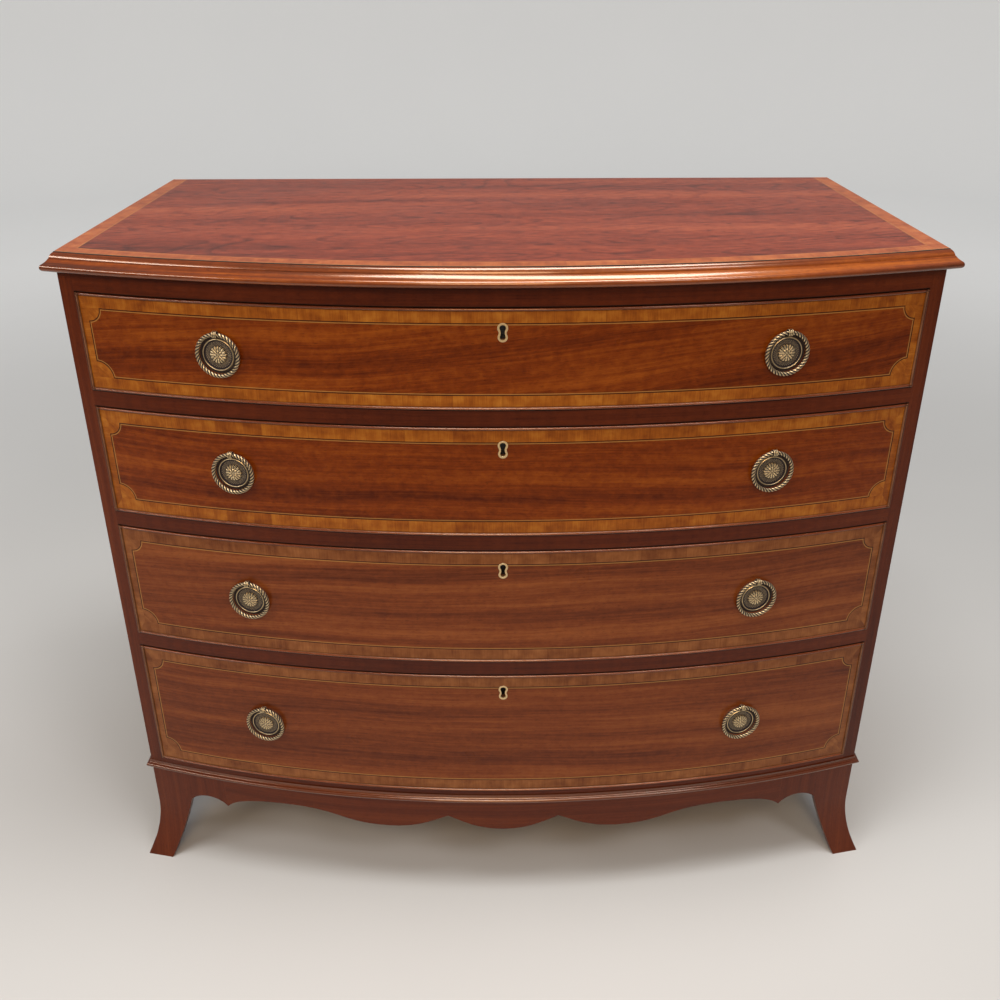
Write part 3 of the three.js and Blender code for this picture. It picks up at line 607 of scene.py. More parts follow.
@dataclass(frozen=True)
class Polish:
    """French polish over a wood."""

    roughness: float = 0.30
    level: float = 0.10
    coat: float = 0.18
    coat_roughness: float = 0.07
    coat_index: float = 1.5
    pore_depth: float = 0.05 * MM
    tint: Colour = (1, 1, 1)

    def bench(self, name: str) -> Bench:
        """A bench for a polished material."""
        return Bench(name, self.roughness, Specular_IOR_Level=self.level, Specular_Tint=(*self.tint, 1),
                     Coat_Weight=self.coat, Coat_Roughness=self.coat_roughness, Coat_IOR=self.coat_index)

    def dress(self, bench: Bench, colour: Tone, pores: Tone) -> bpy.types.Material:
        """Dresses a wood whose pores are a little open, with faint smears in the polish.

        Args:
            bench: the material's bench.
            colour: the wood's colour.
            pores: 1 in a pore and 0 outside.

        Returns:
            The material.
        """
        x, y, z = bench.place()
        smear = bench.noise(x * 9, y * 9, z * 9, 3)
        roughness = smear * 0.12 + (self.roughness - 0.06)
        if not self.pore_depth:
            return bench.dress(colour, roughness)
        return bench.dress(colour, roughness, 1 - pores, self.pore_depth)


FRENCH = Polish()
TOP_POLISH = Polish(0.32, 0.10, 0.20, 0.08)
GLOSS = Polish(0.22, 0.8, 0.45, 0.08, 1.6, 0.0, (1.0, 0.66, 0.42))


def solid_mahogany(name: str, wood: Mahogany, grain: Grain) -> bpy.types.Material:
    """Polished mahogany cut from the solid, on object coordinates.

    Args:
        name: the material's name.
        wood: the kind of mahogany.
        grain: the way that its grain runs.

    Returns:
        The material.
    """
    bench = FRENCH.bench(name)
    place = bench.place()
    along, across, third = (place[i] for i in grain.value)
    colour, pores = wood.figure(bench, along, across, third)
    return FRENCH.dress(bench, colour, pores)


def run_mahogany(name: str, wood: Mahogany, polish: Polish = FRENCH) -> bpy.types.Material:
    """Polished mahogany whose grain follows the flat map's first way.

    Args:
        name: the material's name.
        wood: the kind of mahogany.
        polish: the polish over it.

    Returns:
        The material.
    """
    bench = polish.bench(name)
    colour, pores = wood.figure(bench, *bench.flat())
    return polish.dress(bench, colour, pores)


def bead_mahogany(bow: Bow) -> bpy.types.Material:
    """The cock beads' mahogany: glossy along the drawers, dull at their ends, with painted shade darkening the
    ends and the gap outside.

    Args:
        bow: the bowed front, whose ends dull the bead and darken it with painted shade.

    Returns:
        The material.
    """
    bench = GLOSS.bench("cock_bead_mahogany")
    along, section = bench.flat()
    colour, pores = BEAD.figure(bench, along, section)
    x, _, _ = bench.place()
    # Painted shade: the bead darkens towards ebony over its last 24 mm at each end, and its outer side, down in
    # the gap beside the carcase, is painted nearly black.
    at_end = bench.rise(abs(x), bow.half - 25.5 * MM, bow.half - 23.5 * MM)
    gap_shade = 1 - bench.rise(section, 2.3 * MM, 2.9 * MM)
    colour = bench.mix(bench.most(gap_shade * 0.9, at_end * 0.55), colour, EBONY)
    shine = (1 - bench.most(gap_shade, at_end * 0.85)) * GLOSS.coat
    return bench.dress(colour, (1 - pores) * 0.04 + GLOSS.roughness, 1 - pores, 0.05 * MM, Coat_Weight=shine)


@dataclass(frozen=True)
class PlainWood:
    """Unpolished wood inside the chest: growth lines and fibres."""

    name: str
    dark: Colour
    light: Colour
    lines: float = 240.0

    def make(self, grain: Grain, board: float = 0.0) -> bpy.types.Material:
        """The material with its grain one way.

        Args:
            grain: the way that the grain runs.
            board: width of the boards that lie side by side along x, where there is more than one.

        Returns:
            The material.
        """
        bench = Bench(f"{self.name}_{grain.name.lower()}", 0.62)
        place = bench.place()
        along, across, third = (place[i] for i in grain.value)
        if board:
            along = along + bench.draw(place[0] / board, 3.0) * 7
        growth = bench.noise(along * 2.2, across * self.lines * 0.25, third * self.lines * 0.25, 3, 0.6, 0.3)
        fibre = bench.noise(along * 30, across * self.lines * 4, third * self.lines * 4, 2)
        tone = (growth - 0.5) * 1.5 + (fibre - 0.5) * 0.5 + 0.5
        colour = bench.ramp(tone, (0.2, self.dark), (0.8, self.light))
        return bench.dress(colour, fibre * 0.2 + 0.5, fibre, 0.08 * MM)


OAK = PlainWood("waxed_oak", (0.170, 0.088, 0.034), (0.370, 0.205, 0.090))
PINE = PlainWood("aged_pine", (0.160, 0.070, 0.024), (0.340, 0.172, 0.066), 90.0)


@dataclass(frozen=True)
class AgedMetal:
    """Old metal, bright where it is rubbed and dark in its hollows: the flat map's second way is its relief."""

    name: str
    hollow: Colour
    worn: Colour
    roughness: float = 0.34
    metal: float = 1.0

    def make(self) -> bpy.types.Material:
        """The material.

        Returns:
            The material.
        """
        bench = Bench(self.name, self.roughness, Metallic=1.0)
        x, y, z = bench.place()
        relief = bench.flat()[1]
        grime_and_shade = bench.noise(x * 420, y * 420, z * 420, 3, 0.6)
        rub = bench.rise(relief + (grime_and_shade - 0.5) * 0.35, 0.25, 0.85)
        colour = bench.mix(rub, self.hollow, self.worn)
        metal = (rub * 0.75 + 0.25) * self.metal
        return bench.dress(colour, (1 - rub) * 0.25 + self.roughness + (grime_and_shade - 0.5) * 0.15, grime_and_shade, 0.05 * MM,
                           Metallic=metal)


BRASS = AgedMetal("aged_brass", (0.026, 0.017, 0.018), (0.68, 0.53, 0.31))
ESCUTCHEON_BRASS = AgedMetal("escutcheon_brass", (0.20, 0.14, 0.06), (0.62, 0.46, 0.24), 0.30, 0.35)


def steel() -> bpy.types.Material:
    """Dull steel of the locks, dark as old iron and, in part, as painted shade, so that the keyholes
    look black.

    Returns:
        The material.
    """
    # Partly painted shade: the steel is kept this dark so that the keyholes look black.
    dark, light, rusty = (0.045, 0.045, 0.050), (0.105, 0.105, 0.115), (0.060, 0.028, 0.014)
    bench = Bench("dull_steel", 0.42, Metallic=1.0)
    x, y, z = bench.place()
    brushed = bench.noise(x * 40, y * 900, z * 900, 2)
    rust = bench.rise(bench.noise(x * 60, y * 60, z * 60, 4, 0.65), 0.58, 0.75)
    colour = bench.mix(rust * 0.6, bench.ramp(brushed, (0.2, dark), (0.8, light)), rusty)
    return bench.dress(colour, brushed * 0.2 + rust * 0.2 + 0.3)


# The pieces of the chest.


def settle(piece: bpy.types.Object, body: str, slot: Slot, material: bpy.types.Material, *nodes: str) -> None:
    """Dresses a piece, sets it on its body and hides the nodes that it stands for.

    Args:
        piece: the piece.
        body: the body that it rides on.
        slot: the record's slot that its finish comes from; not used.
        material: its finish.
        nodes: nodes that it stands for.
    """
    piece.data.materials.append(material)
    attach(piece, body)
    if nodes:
        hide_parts(*nodes)
    log.info("%s rides on %s", piece.name, body)


def plan_round(bow: Bow, out: float, back_y: float, steps: int = 120) -> np.ndarray:
    """Plan line from the back along one side, round the bow and back: each of its three runs is `out` proud.

    Args:
        bow: the bowed front.
        out: how far the line stands proud of the carcase.
        back_y: where the sides end.
        steps: steps along the bow.

    Returns:
        Points of (x, y), from the left side's back end to the right side's.
    """
    half = bow.half + out
    x = np.linspace(-half, half, steps + 1)
    front = np.stack([x, bow.y(x, out)], -1)
    side = np.linspace(0, 1, 9)[:, None]
    left = (1 - side) * np.array([-half, back_y]) + side * front[0]
    right = (1 - side) * front[-1] + side * np.array([half, back_y])
    return np.vstack([left[:-1], front, right[1:]])


def moulding(name: str, bow: Bow, profile: np.ndarray, back_y: float) -> bpy.types.Object:
    """A section of reach and height carried round the front and the sides, mitred at the corners.

    Args:
        name: the piece's name.
        bow: the bowed front.
        profile: points of (reach, height), one after another round the section.
        back_y: where the sides end.

    Returns:
        The object, with length and height round the section on its flat map.
    """
    lines = np.stack([plan_round(bow, out, back_y) for out in profile[:, 0]], 1)
    heights = np.broadcast_to(profile[:, 1], lines.shape[:2])
    points = np.concatenate([lines, heights[..., None]], -1)
    run = lengths(plan_round(bow, 0.0, back_y))
    flat = np.stack(np.broadcast_arrays(run[:, None], lengths(profile)[None]), -1)
    skin = Skin()
    skin.tube(points, flat)
    return skin.piece(name, 24)


@dataclass
class Top:
    """The top: a bowed board whose veneer reaches to its edge, and the moulding under it."""

    bow: Bow
    back_y: float
    high: float
    low: float
    inset: float = 6.3 * MM
    lip: float = 0.1 * MM
    veneer: float = 0.6 * MM
    ovolo: tuple[float, float] = (4.9 * MM, 6.4 * MM)
    fillet: float = 0.7 * MM
    nose_out: float = 15 * MM
    nose_radius: float = 4.3 * MM
    nose_lift: float = 1.2 * MM
    band: float = 24 * MM
    side_band: float = 22 * MM

    def slab(self, skin: Skin, out: float, z0: float, z1: float) -> None:
        """Adds a bowed board between two heights: rows run from the arc `out` proud to the straight back edge.

        Args:
            skin: what the board is added to.
            out: how far its front and ends stand proud of the carcase.
            z0: its underside.
            z1: its upper side.
        """
        half = self.bow.half + out
        x = np.linspace(-half, half, 121)[:, None]
        deep = shares(24)[None]
        y = self.bow.y(x, out) * (1 - deep) + self.back_y * deep
        sheet = np.stack([np.broadcast_to(x, y.shape), y], -1)
        top = np.concatenate([sheet, np.full(y.shape + (1,), z1)], -1)
        bottom = np.concatenate([sheet, np.full(y.shape + (1,), z0)], -1)
        skin.grid(top, sheet)
        skin.grid(bottom, sheet)
        for edge in ((slice(None), 0), (slice(None), -1), (0, slice(None)), (-1, slice(None))):
            skin.grid(np.stack([top[edge], bottom[edge]], 1))

    def board(self) -> bpy.types.Object:
        """The board and its veneer.

        Returns:
            The object.
        """
        skin = Skin()
        self.slab(skin, -self.inset, self.low, self.high - self.veneer)
        self.slab(skin, -self.lip, self.high - self.veneer, self.high)
        return skin.piece("top_board_veneered")

    def edge(self) -> bpy.types.Object:
        """The moulding: an ovolo under the veneer, a fillet, a shallow hollow and the round nose.

        Returns:
            The object.
        """
        out, tall = self.ovolo
        fillet = self.high - tall
        centre = np.array([self.nose_out - self.nose_radius, self.low + self.nose_lift + self.nose_radius])
        nose = turn_of(centre, self.nose_radius, -90, 62, 20)
        ledge = np.array([out + self.fillet, fillet - self.fillet])
        under = self.high - self.veneer - 0.1 * MM
        behind = -self.inset + 0.3 * MM
        arris = (-0.3 * MM, self.high - 0.3 * MM)
        profile = joined(
            np.array([[-self.lip - 0.6 * MM, under], [behind, under], [behind, self.low], [0, self.low]]),
            nose,
            quadratic(nose[-1], (nose[-1] + ledge) / 2 - 0.8 * MM, ledge, 12),
            np.array([[out, ledge[1]]]),
            quadratic((out, fillet), (0.7 * out, fillet + 0.7 * tall), arris, 14),
        )
        return moulding("top_edge_moulding", self.bow, profile, self.back_y)

    def veneer_finish(self) -> bpy.types.Material:
        """Figured field inside crossbanding along the front and both sides, with lines beside it.

        Returns:
            The material.
        """
        bench = TOP_POLISH.bench("top_veneer")
        x, y, _ = bench.place()
        edge = self.bow.radius - self.lip
        from_centre = bench.math("SQRT", x * x + (y - self.bow.centre_y) * (y - self.bow.centre_y))
        front = edge - from_centre
        side = (self.bow.half - self.lip) - abs(x)
        field, pores = TOP_FIELD.figure(bench, x, y)
        front_band = TOP_BAND.figure(bench, x, front, 5.0)
        side_band = TOP_BAND.figure(bench, y, side, 9.0)
        on_side = bench.rise(front - side, -SMALL, SMALL)
        band = bench.mix(on_side, front_band, side_band)
        depth = bench.least(front - self.band, side - self.side_band)
        colour = bench.mix(bench.rise(depth, -SMALL, SMALL), band, field)
        colour = bench.mix(bench.line(depth, -0.8 * MM, 0.5 * MM) * 0.45, colour, BOXWOOD)
        colour = bench.mix(bench.line(front, 4.0 * MM, 0.6 * MM) * 0.5, colour, BOXWOOD)
        colour = bench.mix(bench.line(front, 1.2 * MM, 1.7 * MM), colour, EBONY)
        return TOP_POLISH.dress(bench, colour, pores)

    def build(self) -> None:
        """Builds and settles the top."""
        settle(self.board(), "carcase", Slot.FIGURED, self.veneer_finish(), "top_board")
        edge_finish = run_mahogany("top_edge_mahogany", EDGE, GLOSS)
        settle(self.edge(), "carcase", Slot.CARCASE, edge_finish, "top_moulding")


# Drawers 1 and 2 take the darker UPPER_FIELD and drawers 3 and 4 the greyer FIELD: painted shade and painted
# reflection, as said at FIELD.
FIGURES = (
    replace(UPPER_FIELD, ribbon=22, sweep=0.045, contrast=1.15, fine=1.2, streaks=6, mottle=0.45, tilt=0.09,
            seed=13.7),
    replace(UPPER_FIELD, ribbon=38, sweep=0.040, contrast=0.95, fine=1.2, streaks=6, mottle=0.55, tilt=-0.02,
            seed=27.4),
    replace(FIELD, ribbon=36, sweep=0.045, contrast=1.00, fine=1.3, streaks=8, mottle=0.35, tilt=0.02, seed=41.1),
    replace(FIELD, ribbon=34, sweep=0.045, contrast=0.90, fine=1.3, streaks=8, mottle=0.35, seed=54.8),
)
EDGE_LINES = (17.5 * MM, 19 * MM, 19 * MM, 19 * MM)


@dataclass
class DrawerFace:
    """The face of one drawer: veneer wrapped on the bow with its keyhole, and the cock bead round it."""

    bow: Bow
    number: int
    low: float
    high: float
    half: float
    key_drop: float = 28 * MM
    end_line: float = 13.5 * MM
    bead: float = 3 * MM
    bead_out: float = 2.5 * MM
    bead_over: float = 0.06 * MM
    bead_root: float = 2.2 * MM
    top_corner: float = 16 * MM
    bottom_corner: float = 20 * MM
    window: float = 22 * MM
    face_out: float = 0.15 * MM
    let_in: float = 0.6 * MM

    @property
    def body(self) -> str:
        """The body that the face rides on."""
        return f"drawer_{self.number}"

    @property
    def edge_line(self) -> float:
        """Width of the crossbanding along the long edges."""
        return EDGE_LINES[self.number - 1]

    @property
    def key_height(self) -> float:
        """Height of the keyhole's middle."""
        return self.high - self.key_drop

    def veneer(self) -> bpy.types.Object:
        """A thin sheet on the bow: a grid with a window at the keyhole, filled by rings that close on its
        outline.

        Returns:
            The object.
        """
        end = self.bow.arc(self.half)
        window = self.window
        key = self.key_height
        s = np.concatenate([
            np.linspace(-end, -window, 61),
            np.linspace(-window, window, 13)[1:-1],
            np.linspace(window, end, 61),
        ])
        low_rows = max(8, int((key - window - self.low) / (12 * MM)))
        z = np.concatenate([
            np.linspace(self.low, key - window, low_rows),
            np.linspace(key - window, key + window, 13)[1:-1],
            np.linspace(key + window, self.high, 3),
        ])
        skin = Skin()
        in_s = np.flatnonzero(np.abs(s) <= window + 1e-9)
        in_z = np.flatnonzero(np.abs(z - key) <= window + 1e-9)
        blocks = [(slice(None, in_s[0] + 1), slice(None)), (slice(in_s[-1], None), slice(None)),
                  (slice(in_s[0], in_s[-1] + 1), slice(None, in_z[0] + 1)),
                  (slice(in_s[0], in_s[-1] + 1), slice(in_z[-1], None))]
        ws, wz = s[in_s], z[in_z]
        rim = np.concatenate([np.stack([ws, np.full_like(ws, wz[0])], -1)[:-1],
                              np.stack([np.full_like(wz, ws[-1]), wz], -1)[:-1],
                              np.stack([ws[::-1], np.full_like(ws, wz[-1])], -1)[:-1],
                              np.stack([np.full_like(wz, ws[0]), wz[::-1]], -1)[:-1]])
        angle = np.arctan2(rim[:, 1] - key, rim[:, 0])
        outline = keyhole(0.05 * MM, 40)
        bearing = np.arctan2(outline[:, 1], outline[:, 0])
        order = np.argsort(bearing)
        reach = np.interp(angle, bearing[order], np.hypot(*outline.T)[order], period=2 * np.pi)
        hole = np.stack([reach * np.cos(angle), key + reach * np.sin(angle)], -1)
        ring_share = shares(7)[:, None, None]
        rings = hole[None] * (1 - ring_share) + rim[None] * ring_share
        for out in (self.face_out, -self.let_in):
            grid = np.stack(np.meshgrid(s, z, indexing="ij"), -1)
            for block in blocks:
                part = grid[block]
                skin.grid(self.bow.wrap(part[..., 0], part[..., 1], out), self.map(part))
            skin.grid(self.bow.wrap(rings[..., 0], rings[..., 1], out), self.map(rings), round_v=True)
        outs = np.array([self.face_out, -self.let_in])
        for rim_line in (np.stack([s, np.full_like(s, z[0])], -1), np.stack([s, np.full_like(s, z[-1])], -1),
                         np.stack([np.full_like(z, s[0]), z], -1), np.stack([np.full_like(z, s[-1]), z], -1)):
            skin.grid(self.bow.wrap(rim_line[:, :1], rim_line[:, 1:], outs[None]),
                      np.broadcast_to(self.map(rim_line)[:, None], (len(rim_line), 2, 2)))
        skin.grid(self.bow.wrap(hole[:, :1], hole[:, 1:], outs[None]),
                  np.broadcast_to(self.map(hole)[:, None], (len(hole), 2, 2)), round_u=True)
        return skin.piece(f"{self.body}_veneer")

    def map(self, places: np.ndarray) -> np.ndarray:
        """Flat places of points on the sheet: arc length, and height above the face's lower edge."""
        return places - np.array([0, self.low])

    def cock_bead(self) -> bpy.types.Object:
        """A half-round bead round the four edges: each point of its section runs round a rectangle set in by
        its place across the bead, which the bow bends.

        Returns:
            The object.
        """
        radius = self.bead / 2
        nose = turn_of((radius, self.bead_out - radius), radius, 180, 0, 12)
        section = joined(np.array([[-self.bead_over, -self.bead_root]]), nose + np.array([[-self.bead_over, 0]]),
                         np.array([[self.bead, -self.bead_root]]))
        t = shares(90)
        rise = shares(6)
        tracks = []
        for across, out in section:
            end = self.bow.arc(self.half - across)
            z0, z1 = self.low + across, self.high - across
            s = np.concatenate([-end + 2 * end * t, np.full(5, end), end - 2 * end * t, np.full(5, -end)])
            z = np.concatenate([np.full(91, z0), (z0 + (z1 - z0) * rise)[1:-1], np.full(91, z1),
                                (z1 - (z1 - z0) * rise)[1:-1]])
            tracks.append(self.bow.wrap(s, z, out))
        points = np.stack(tracks, 1)
        run = lengths(points[:, 0])
        flat = np.stack(np.broadcast_arrays(run[:, None], lengths(section)[None]), -1)
        skin = Skin()
        skin.grid(points, flat, round_u=True, round_v=True)
        return skin.piece(f"{self.body}_cock_bead", 40)

    def finish(self) -> bpy.types.Material:
        """Figured field, line of ebony and boxwood, crossbanding with quarter-round corners, and painted shade
        beside the cock bead.

        Returns:
            The material.
        """
        bench = FRENCH.bench(f"{self.body}_veneer")
        s, v = bench.flat()
        height, arc = self.high - self.low, self.bow.arc(self.half)
        end = arc - abs(s)
        edge = bench.least(v, height - v)
        in_end, in_edge = end - self.end_line, edge - self.edge_line
        upper = bench.rise(v, height / 2 - MM, height / 2 + MM)
        corner_radius = self.bottom_corner + upper * (self.top_corner - self.bottom_corner)
        corner = bench.math("SQRT", in_end * in_end + in_edge * in_edge) - corner_radius
        depth = bench.least(bench.least(in_end, in_edge), corner)
        field, pores = FIGURES[self.number - 1].figure(bench, s, v)
        seed = 17.0 * self.number
        leaves = BANDS[self.number - 1]
        long_band = leaves.figure(bench, s, edge, seed)
        end_band = leaves.figure(bench, v, end, seed + 5)
        fan = leaves.figure(bench, s + v, s - v, seed + 9)
        on_end = bench.rise(edge / self.edge_line - end / self.end_line, -0.01, 0.01)
        band = bench.mix(on_end, long_band, end_band)
        in_fan = bench.rise(bench.least(in_end, in_edge), -SMALL, SMALL)
        band = bench.mix(in_fan, band, fan)
        colour = bench.mix(bench.rise(depth, -SMALL, SMALL), band, field)
        colour = bench.mix(bench.line(depth, 1.5 * MM, 0.55 * MM) * 0.65, colour, BOXWOOD)
        colour = bench.mix(bench.line(depth, 0.0, 0.5 * MM) * 0.9, colour, EBONY)
        # Painted shade: the veneer darkens towards ebony within 1.6 mm of the cock bead, where the bead shades
        # it.
        near = bench.least(end, edge)
        grime_and_shade = 1 - bench.rise(near, self.bead, self.bead + 1.6 * MM)
        colour = bench.mix(grime_and_shade * 0.6, colour, EBONY)
        return FRENCH.dress(bench, colour, pores)

    def build(self, bead_finish: bpy.types.Material) -> None:
        """Builds and settles the face.

        Args:
            bead_finish: the cock beads' material.
        """
        settle(self.veneer(), self.body, Slot.FIGURED, self.finish())
        settle(self.cock_bead(), self.body, Slot.CARCASE, bead_finish)
        Escutcheon(self.bow, self.number, self.key_height).build()


def keyhole(grow: float, steps: int = 16) -> np.ndarray:
    """Hourglass outline: two circles `grow` larger than a keyhole's, joined by drawn-in sides.

    Args:
        grow: how far the outline stands outside the escutcheon's edge.
        steps: steps on each of its four runs.

    Returns:
        Points of (x, z), anticlockwise.
    """
    head, foot = 6.2 * MM + grow, 5.8 * MM + grow
    waist = 3.9 * MM + grow
    head_z, foot_z = 5.1 * MM, -5.5 * MM
    top = turn_of((0, head_z), head, -30, 210, 2 * steps)
    bottom = turn_of((0, foot_z), foot, 150, 390, 2 * steps)
    left = quadratic(top[-1], (-waist, 0), bottom[0], steps)
    right = quadratic(bottom[-1], (waist, 0), top[0], steps)
    return np.vstack([top[:-1], left[:-1], bottom[:-1], right[:-1]])


@dataclass
class Escutcheon:
    """A thin brass band let into the drawer round its keyhole."""

    bow: Bow
    number: int
    height: float
    band: float = 2.5 * MM
    proud: float = 0.45 * MM
    let_in: float = 1.8 * MM

    def build(self) -> None:
        """Carries a small section with rounded edges round the keyhole's outline."""
        shoulder = 0.8 * self.proud
        edge, soft = 0.1 * MM, 0.2 * MM
        section = [(-self.band, -self.let_in, 0.2), (-self.band, edge, 0.5), (-self.band + soft, shoulder, 0.9),
                   (-self.band / 2, self.proud, 1.0), (-soft, shoulder, 0.9), (0.0, edge, 0.5),
                   (0.0, -self.let_in, 0.2)]
        rings, flats = [], []
        for grow, out, relief in section:
            outline = keyhole(grow)
            y = np.full(len(outline), self.bow.y(0.0, out))
            rings.append(np.stack([outline[:, 0], y, self.height + outline[:, 1]], -1))
            around = np.arange(len(outline)) / len(outline)
            flats.append(np.stack([around, np.full(len(outline), relief)], -1))
        skin = Skin()
        skin.grid(np.stack(rings), np.stack(flats), round_u=True, round_v=True)
        piece = skin.piece(f"drawer_{self.number}_escutcheon_band")
        node = f"drawer_{self.number}_escutcheon"
        settle(piece, f"drawer_{self.number}", Slot.BRASS, escutcheon_brass(), node)


def escutcheon_brass() -> bpy.types.Material:
    """The escutcheons' brass, made once."""
    return bpy.data.materials.get(ESCUTCHEON_BRASS.name) or ESCUTCHEON_BRASS.make()


@dataclass
class RingPull:
    """A ring pull: a round plate with a floret, a knuckle and a rope-twist ring that hangs from it.

    Its pieces are worked out about the plate's middle, with x across, y into the drawer and z up, then placed."""

    name: str
    body: str
    ring_body: str
    pivot: Vector
    axis: Vector
    ring_radius: float = 25 * MM
    wire: float = 2.45 * MM
    pivot_out: float = 5.2 * MM
    ridges: int = 36
    strands: int = 3
    petals: int = 16
    knuckle_wall: float = 2.0 * MM
    knuckle_half: float = 3.0 * MM

    def placed(self, local: np.ndarray) -> np.ndarray:
        """Turns local points to the bow and moves them to their place.

        Args:
            local: points about the plate's middle.

        Returns:
            The points in the chest's frame.
        """
        right = -np.array(self.axis.normalized())
        inward = np.array([-right[1], right[0], 0.0])
        up = np.array([0, 0, 1.0])
        seat = np.array(self.pivot) + inward * self.pivot_out - up * self.ring_radius
        return seat + local[..., :1] * right + local[..., 1:2] * inward + local[..., 2:] * up

    def ring(self) -> bpy.types.Object:
        """The section turns on its way round the ring, and its radius follows the root of |cos|: round strands
        with sharp valleys between them.

        Returns:
            The object.
        """
        around = np.linspace(0, 2 * np.pi, self.ridges * 9, endpoint=False)[:, None]
        turn = np.linspace(0, 2 * np.pi, 32, endpoint=False)[None]
        phase = self.strands / 2 * turn + self.ridges / 2 * around
        crest = np.abs(np.cos(phase))
        radius = self.wire * (0.58 + 0.46 * np.sqrt(crest))
        reach = self.ring_radius + radius * np.cos(turn)
        out = radius * np.sin(turn) - self.pivot_out
        points = np.stack([reach * np.sin(around), out, reach * np.cos(around)], -1)
        flat = np.stack([np.broadcast_to(around, crest.shape) / 6.3, np.clip(2.6 * crest - 1.4, 0, 1)], -1)
        skin = Skin()
        skin.grid(self.placed(points), flat, round_u=True, round_v=True)
        return skin.piece(f"{self.name}_rope_ring", 75)

    def plate(self) -> bpy.types.Object:
        """A turned plate: its height over the drawer is a function of radius and angle, with the floret's
        petals and the stippled ground in it.

        Returns:
            The object, with the knuckle and the shank in it.
        """
        floret_edge, ground_edge, rim_edge, flange_edge, edge = 9.8, 16.2, 19.8, 22.6, 23.9
        radius = np.concatenate([
            np.linspace(0, floret_edge, 34),
            np.linspace(floret_edge, ground_edge, 24)[1:],
            np.linspace(ground_edge, rim_edge, 18)[1:],
            np.linspace(rim_edge, flange_edge, 12)[1:],
            np.linspace(flange_edge, edge, 6)[1:],
        ]) * MM
        angle = np.linspace(0, 2 * np.pi, 192, endpoint=False)
        r, a = np.meshgrid(radius / MM, angle, indexing="ij")
        dome = np.sqrt(np.clip(1 - (r / 11.8) ** 2, 0, 1))
        outer = np.abs(np.cos(a * self.petals / 2)) ** 0.8
        inner = np.abs(np.cos(a * self.petals / 4)) ** 0.8
        knob = np.clip((1.7 - r) / 0.5, 0, 1)
        step = np.clip((r - 5.4) / 0.6, 0, 1)
        petal = np.maximum(outer * step + inner * (1 - step) * np.clip((r - 1.5) / 0.6, 0, 1), knob)
        scallop = np.clip((9.7 + 0.9 * outer - r) / 0.6, 0, 1)
        floret = scallop * (1.7 + 2.5 * dome + 0.8 * petal - 0.5 * np.clip(1 - np.abs(r - 5.3) / 0.6, 0, 1))
        ticks = np.clip(np.cos(a * 40) * np.cos((r - 10.6) * 2.7), 0, 1) * (r > 10.9) * (r < 16.0)
        ground = 2.0 + 0.4 * ticks
        rim = 3.9 * np.clip(1 - np.abs((r - 18.5) / 1.3) ** 2.6, 0, 1)
        slope = np.clip((flange_edge - r) / 3.4, 0, 1) ** 0.3 * 2.6
        flange = (slope + np.clip((edge - r) / 0.8, 0, 1) * 0.6) * (r > 18.1)
        height = np.maximum.reduce([floret, np.where(r < 18, ground, 0), rim, flange])
        relief = np.where(scallop > 0, 1.25 * petal - 0.2, 0.04 + 1.0 * ticks)
        relief = np.where(np.abs(r - 18.6) < 0.7, 0.85, relief)
        # Past the rim the flange keeps a low relief, so it is dark: partly dark patina, and partly painted shade
        # for the shadow round the plate under the ring.
        relief = np.where(r > 19.3, np.where(r > flange_edge, 0.32, 0.28), relief)
        relief = np.clip(relief, 0, 1)
        local = np.stack([r * np.sin(a), -height, r * np.cos(a)], -1) * MM
        flat = np.stack([a / 6.3, relief], -1)
        skin = Skin()
        skin.grid(self.placed(local), flat, round_v=True)
        back = local[-1].copy()
        back[:, 1] = 0.15 * MM
        skin.grid(self.placed(np.stack([local[-1], back])), np.stack([flat[-1], flat[-1]]), round_v=True)
        skin.lid(self.placed(back), flat[-1])
        self.knuckle(skin)
        self.shank(skin)
        return skin.piece(f"{self.name}_plate_cast", 50)

    def knuckle(self, skin: Skin) -> None:
        """Three turns side by side round the ring's wire, on a post from the plate's flange.

        Args:
            skin: what the knuckle is added to.
        """
        turn = np.linspace(0, 2 * np.pi, 25)[:-1]
        across = np.linspace(-1, 1, 25)
        swell = np.abs(np.cos(np.pi * 1.5 * across))
        inner, outer = self.wire * 0.98, self.wire + self.knuckle_wall
        reaches = np.concatenate([inner + (outer - inner) * (0.35 + 0.65 * np.sqrt(swell)), [inner, inner]])
        places = np.concatenate([across, across[[-1, 0]]]) * self.knuckle_half
        relief = np.concatenate([np.clip(1.5 * swell - 0.4, 0, 1), [0, 0]])
        collar = np.stack([np.broadcast_to(places[:, None], (27, 24)),
                           -self.pivot_out + reaches[:, None] * np.sin(turn),
                           self.ring_radius + reaches[:, None] * np.cos(turn)], -1)
        flat = np.stack(np.broadcast_arrays(0.0, relief[:, None], turn[None])[:2], -1)
        skin.grid(self.placed(collar), flat, round_u=True, round_v=True)
        post = turn_of((0, 0), 1, 0, 345, 23)
        depth = np.array([0.2, -1.4, -3.4]) * MM
        width = np.array([3.2, 2.6, 2.2]) * MM
        legs = np.stack([post[:, 0] * width[:, None], np.broadcast_to(depth[:, None], (3, 24)),
                         self.ring_radius - 0.8 * MM + post[:, 1] * width[:, None]], -1)
        skin.tube(self.placed(legs), np.broadcast_to([0.0, 0.4], (3, 24, 2)))

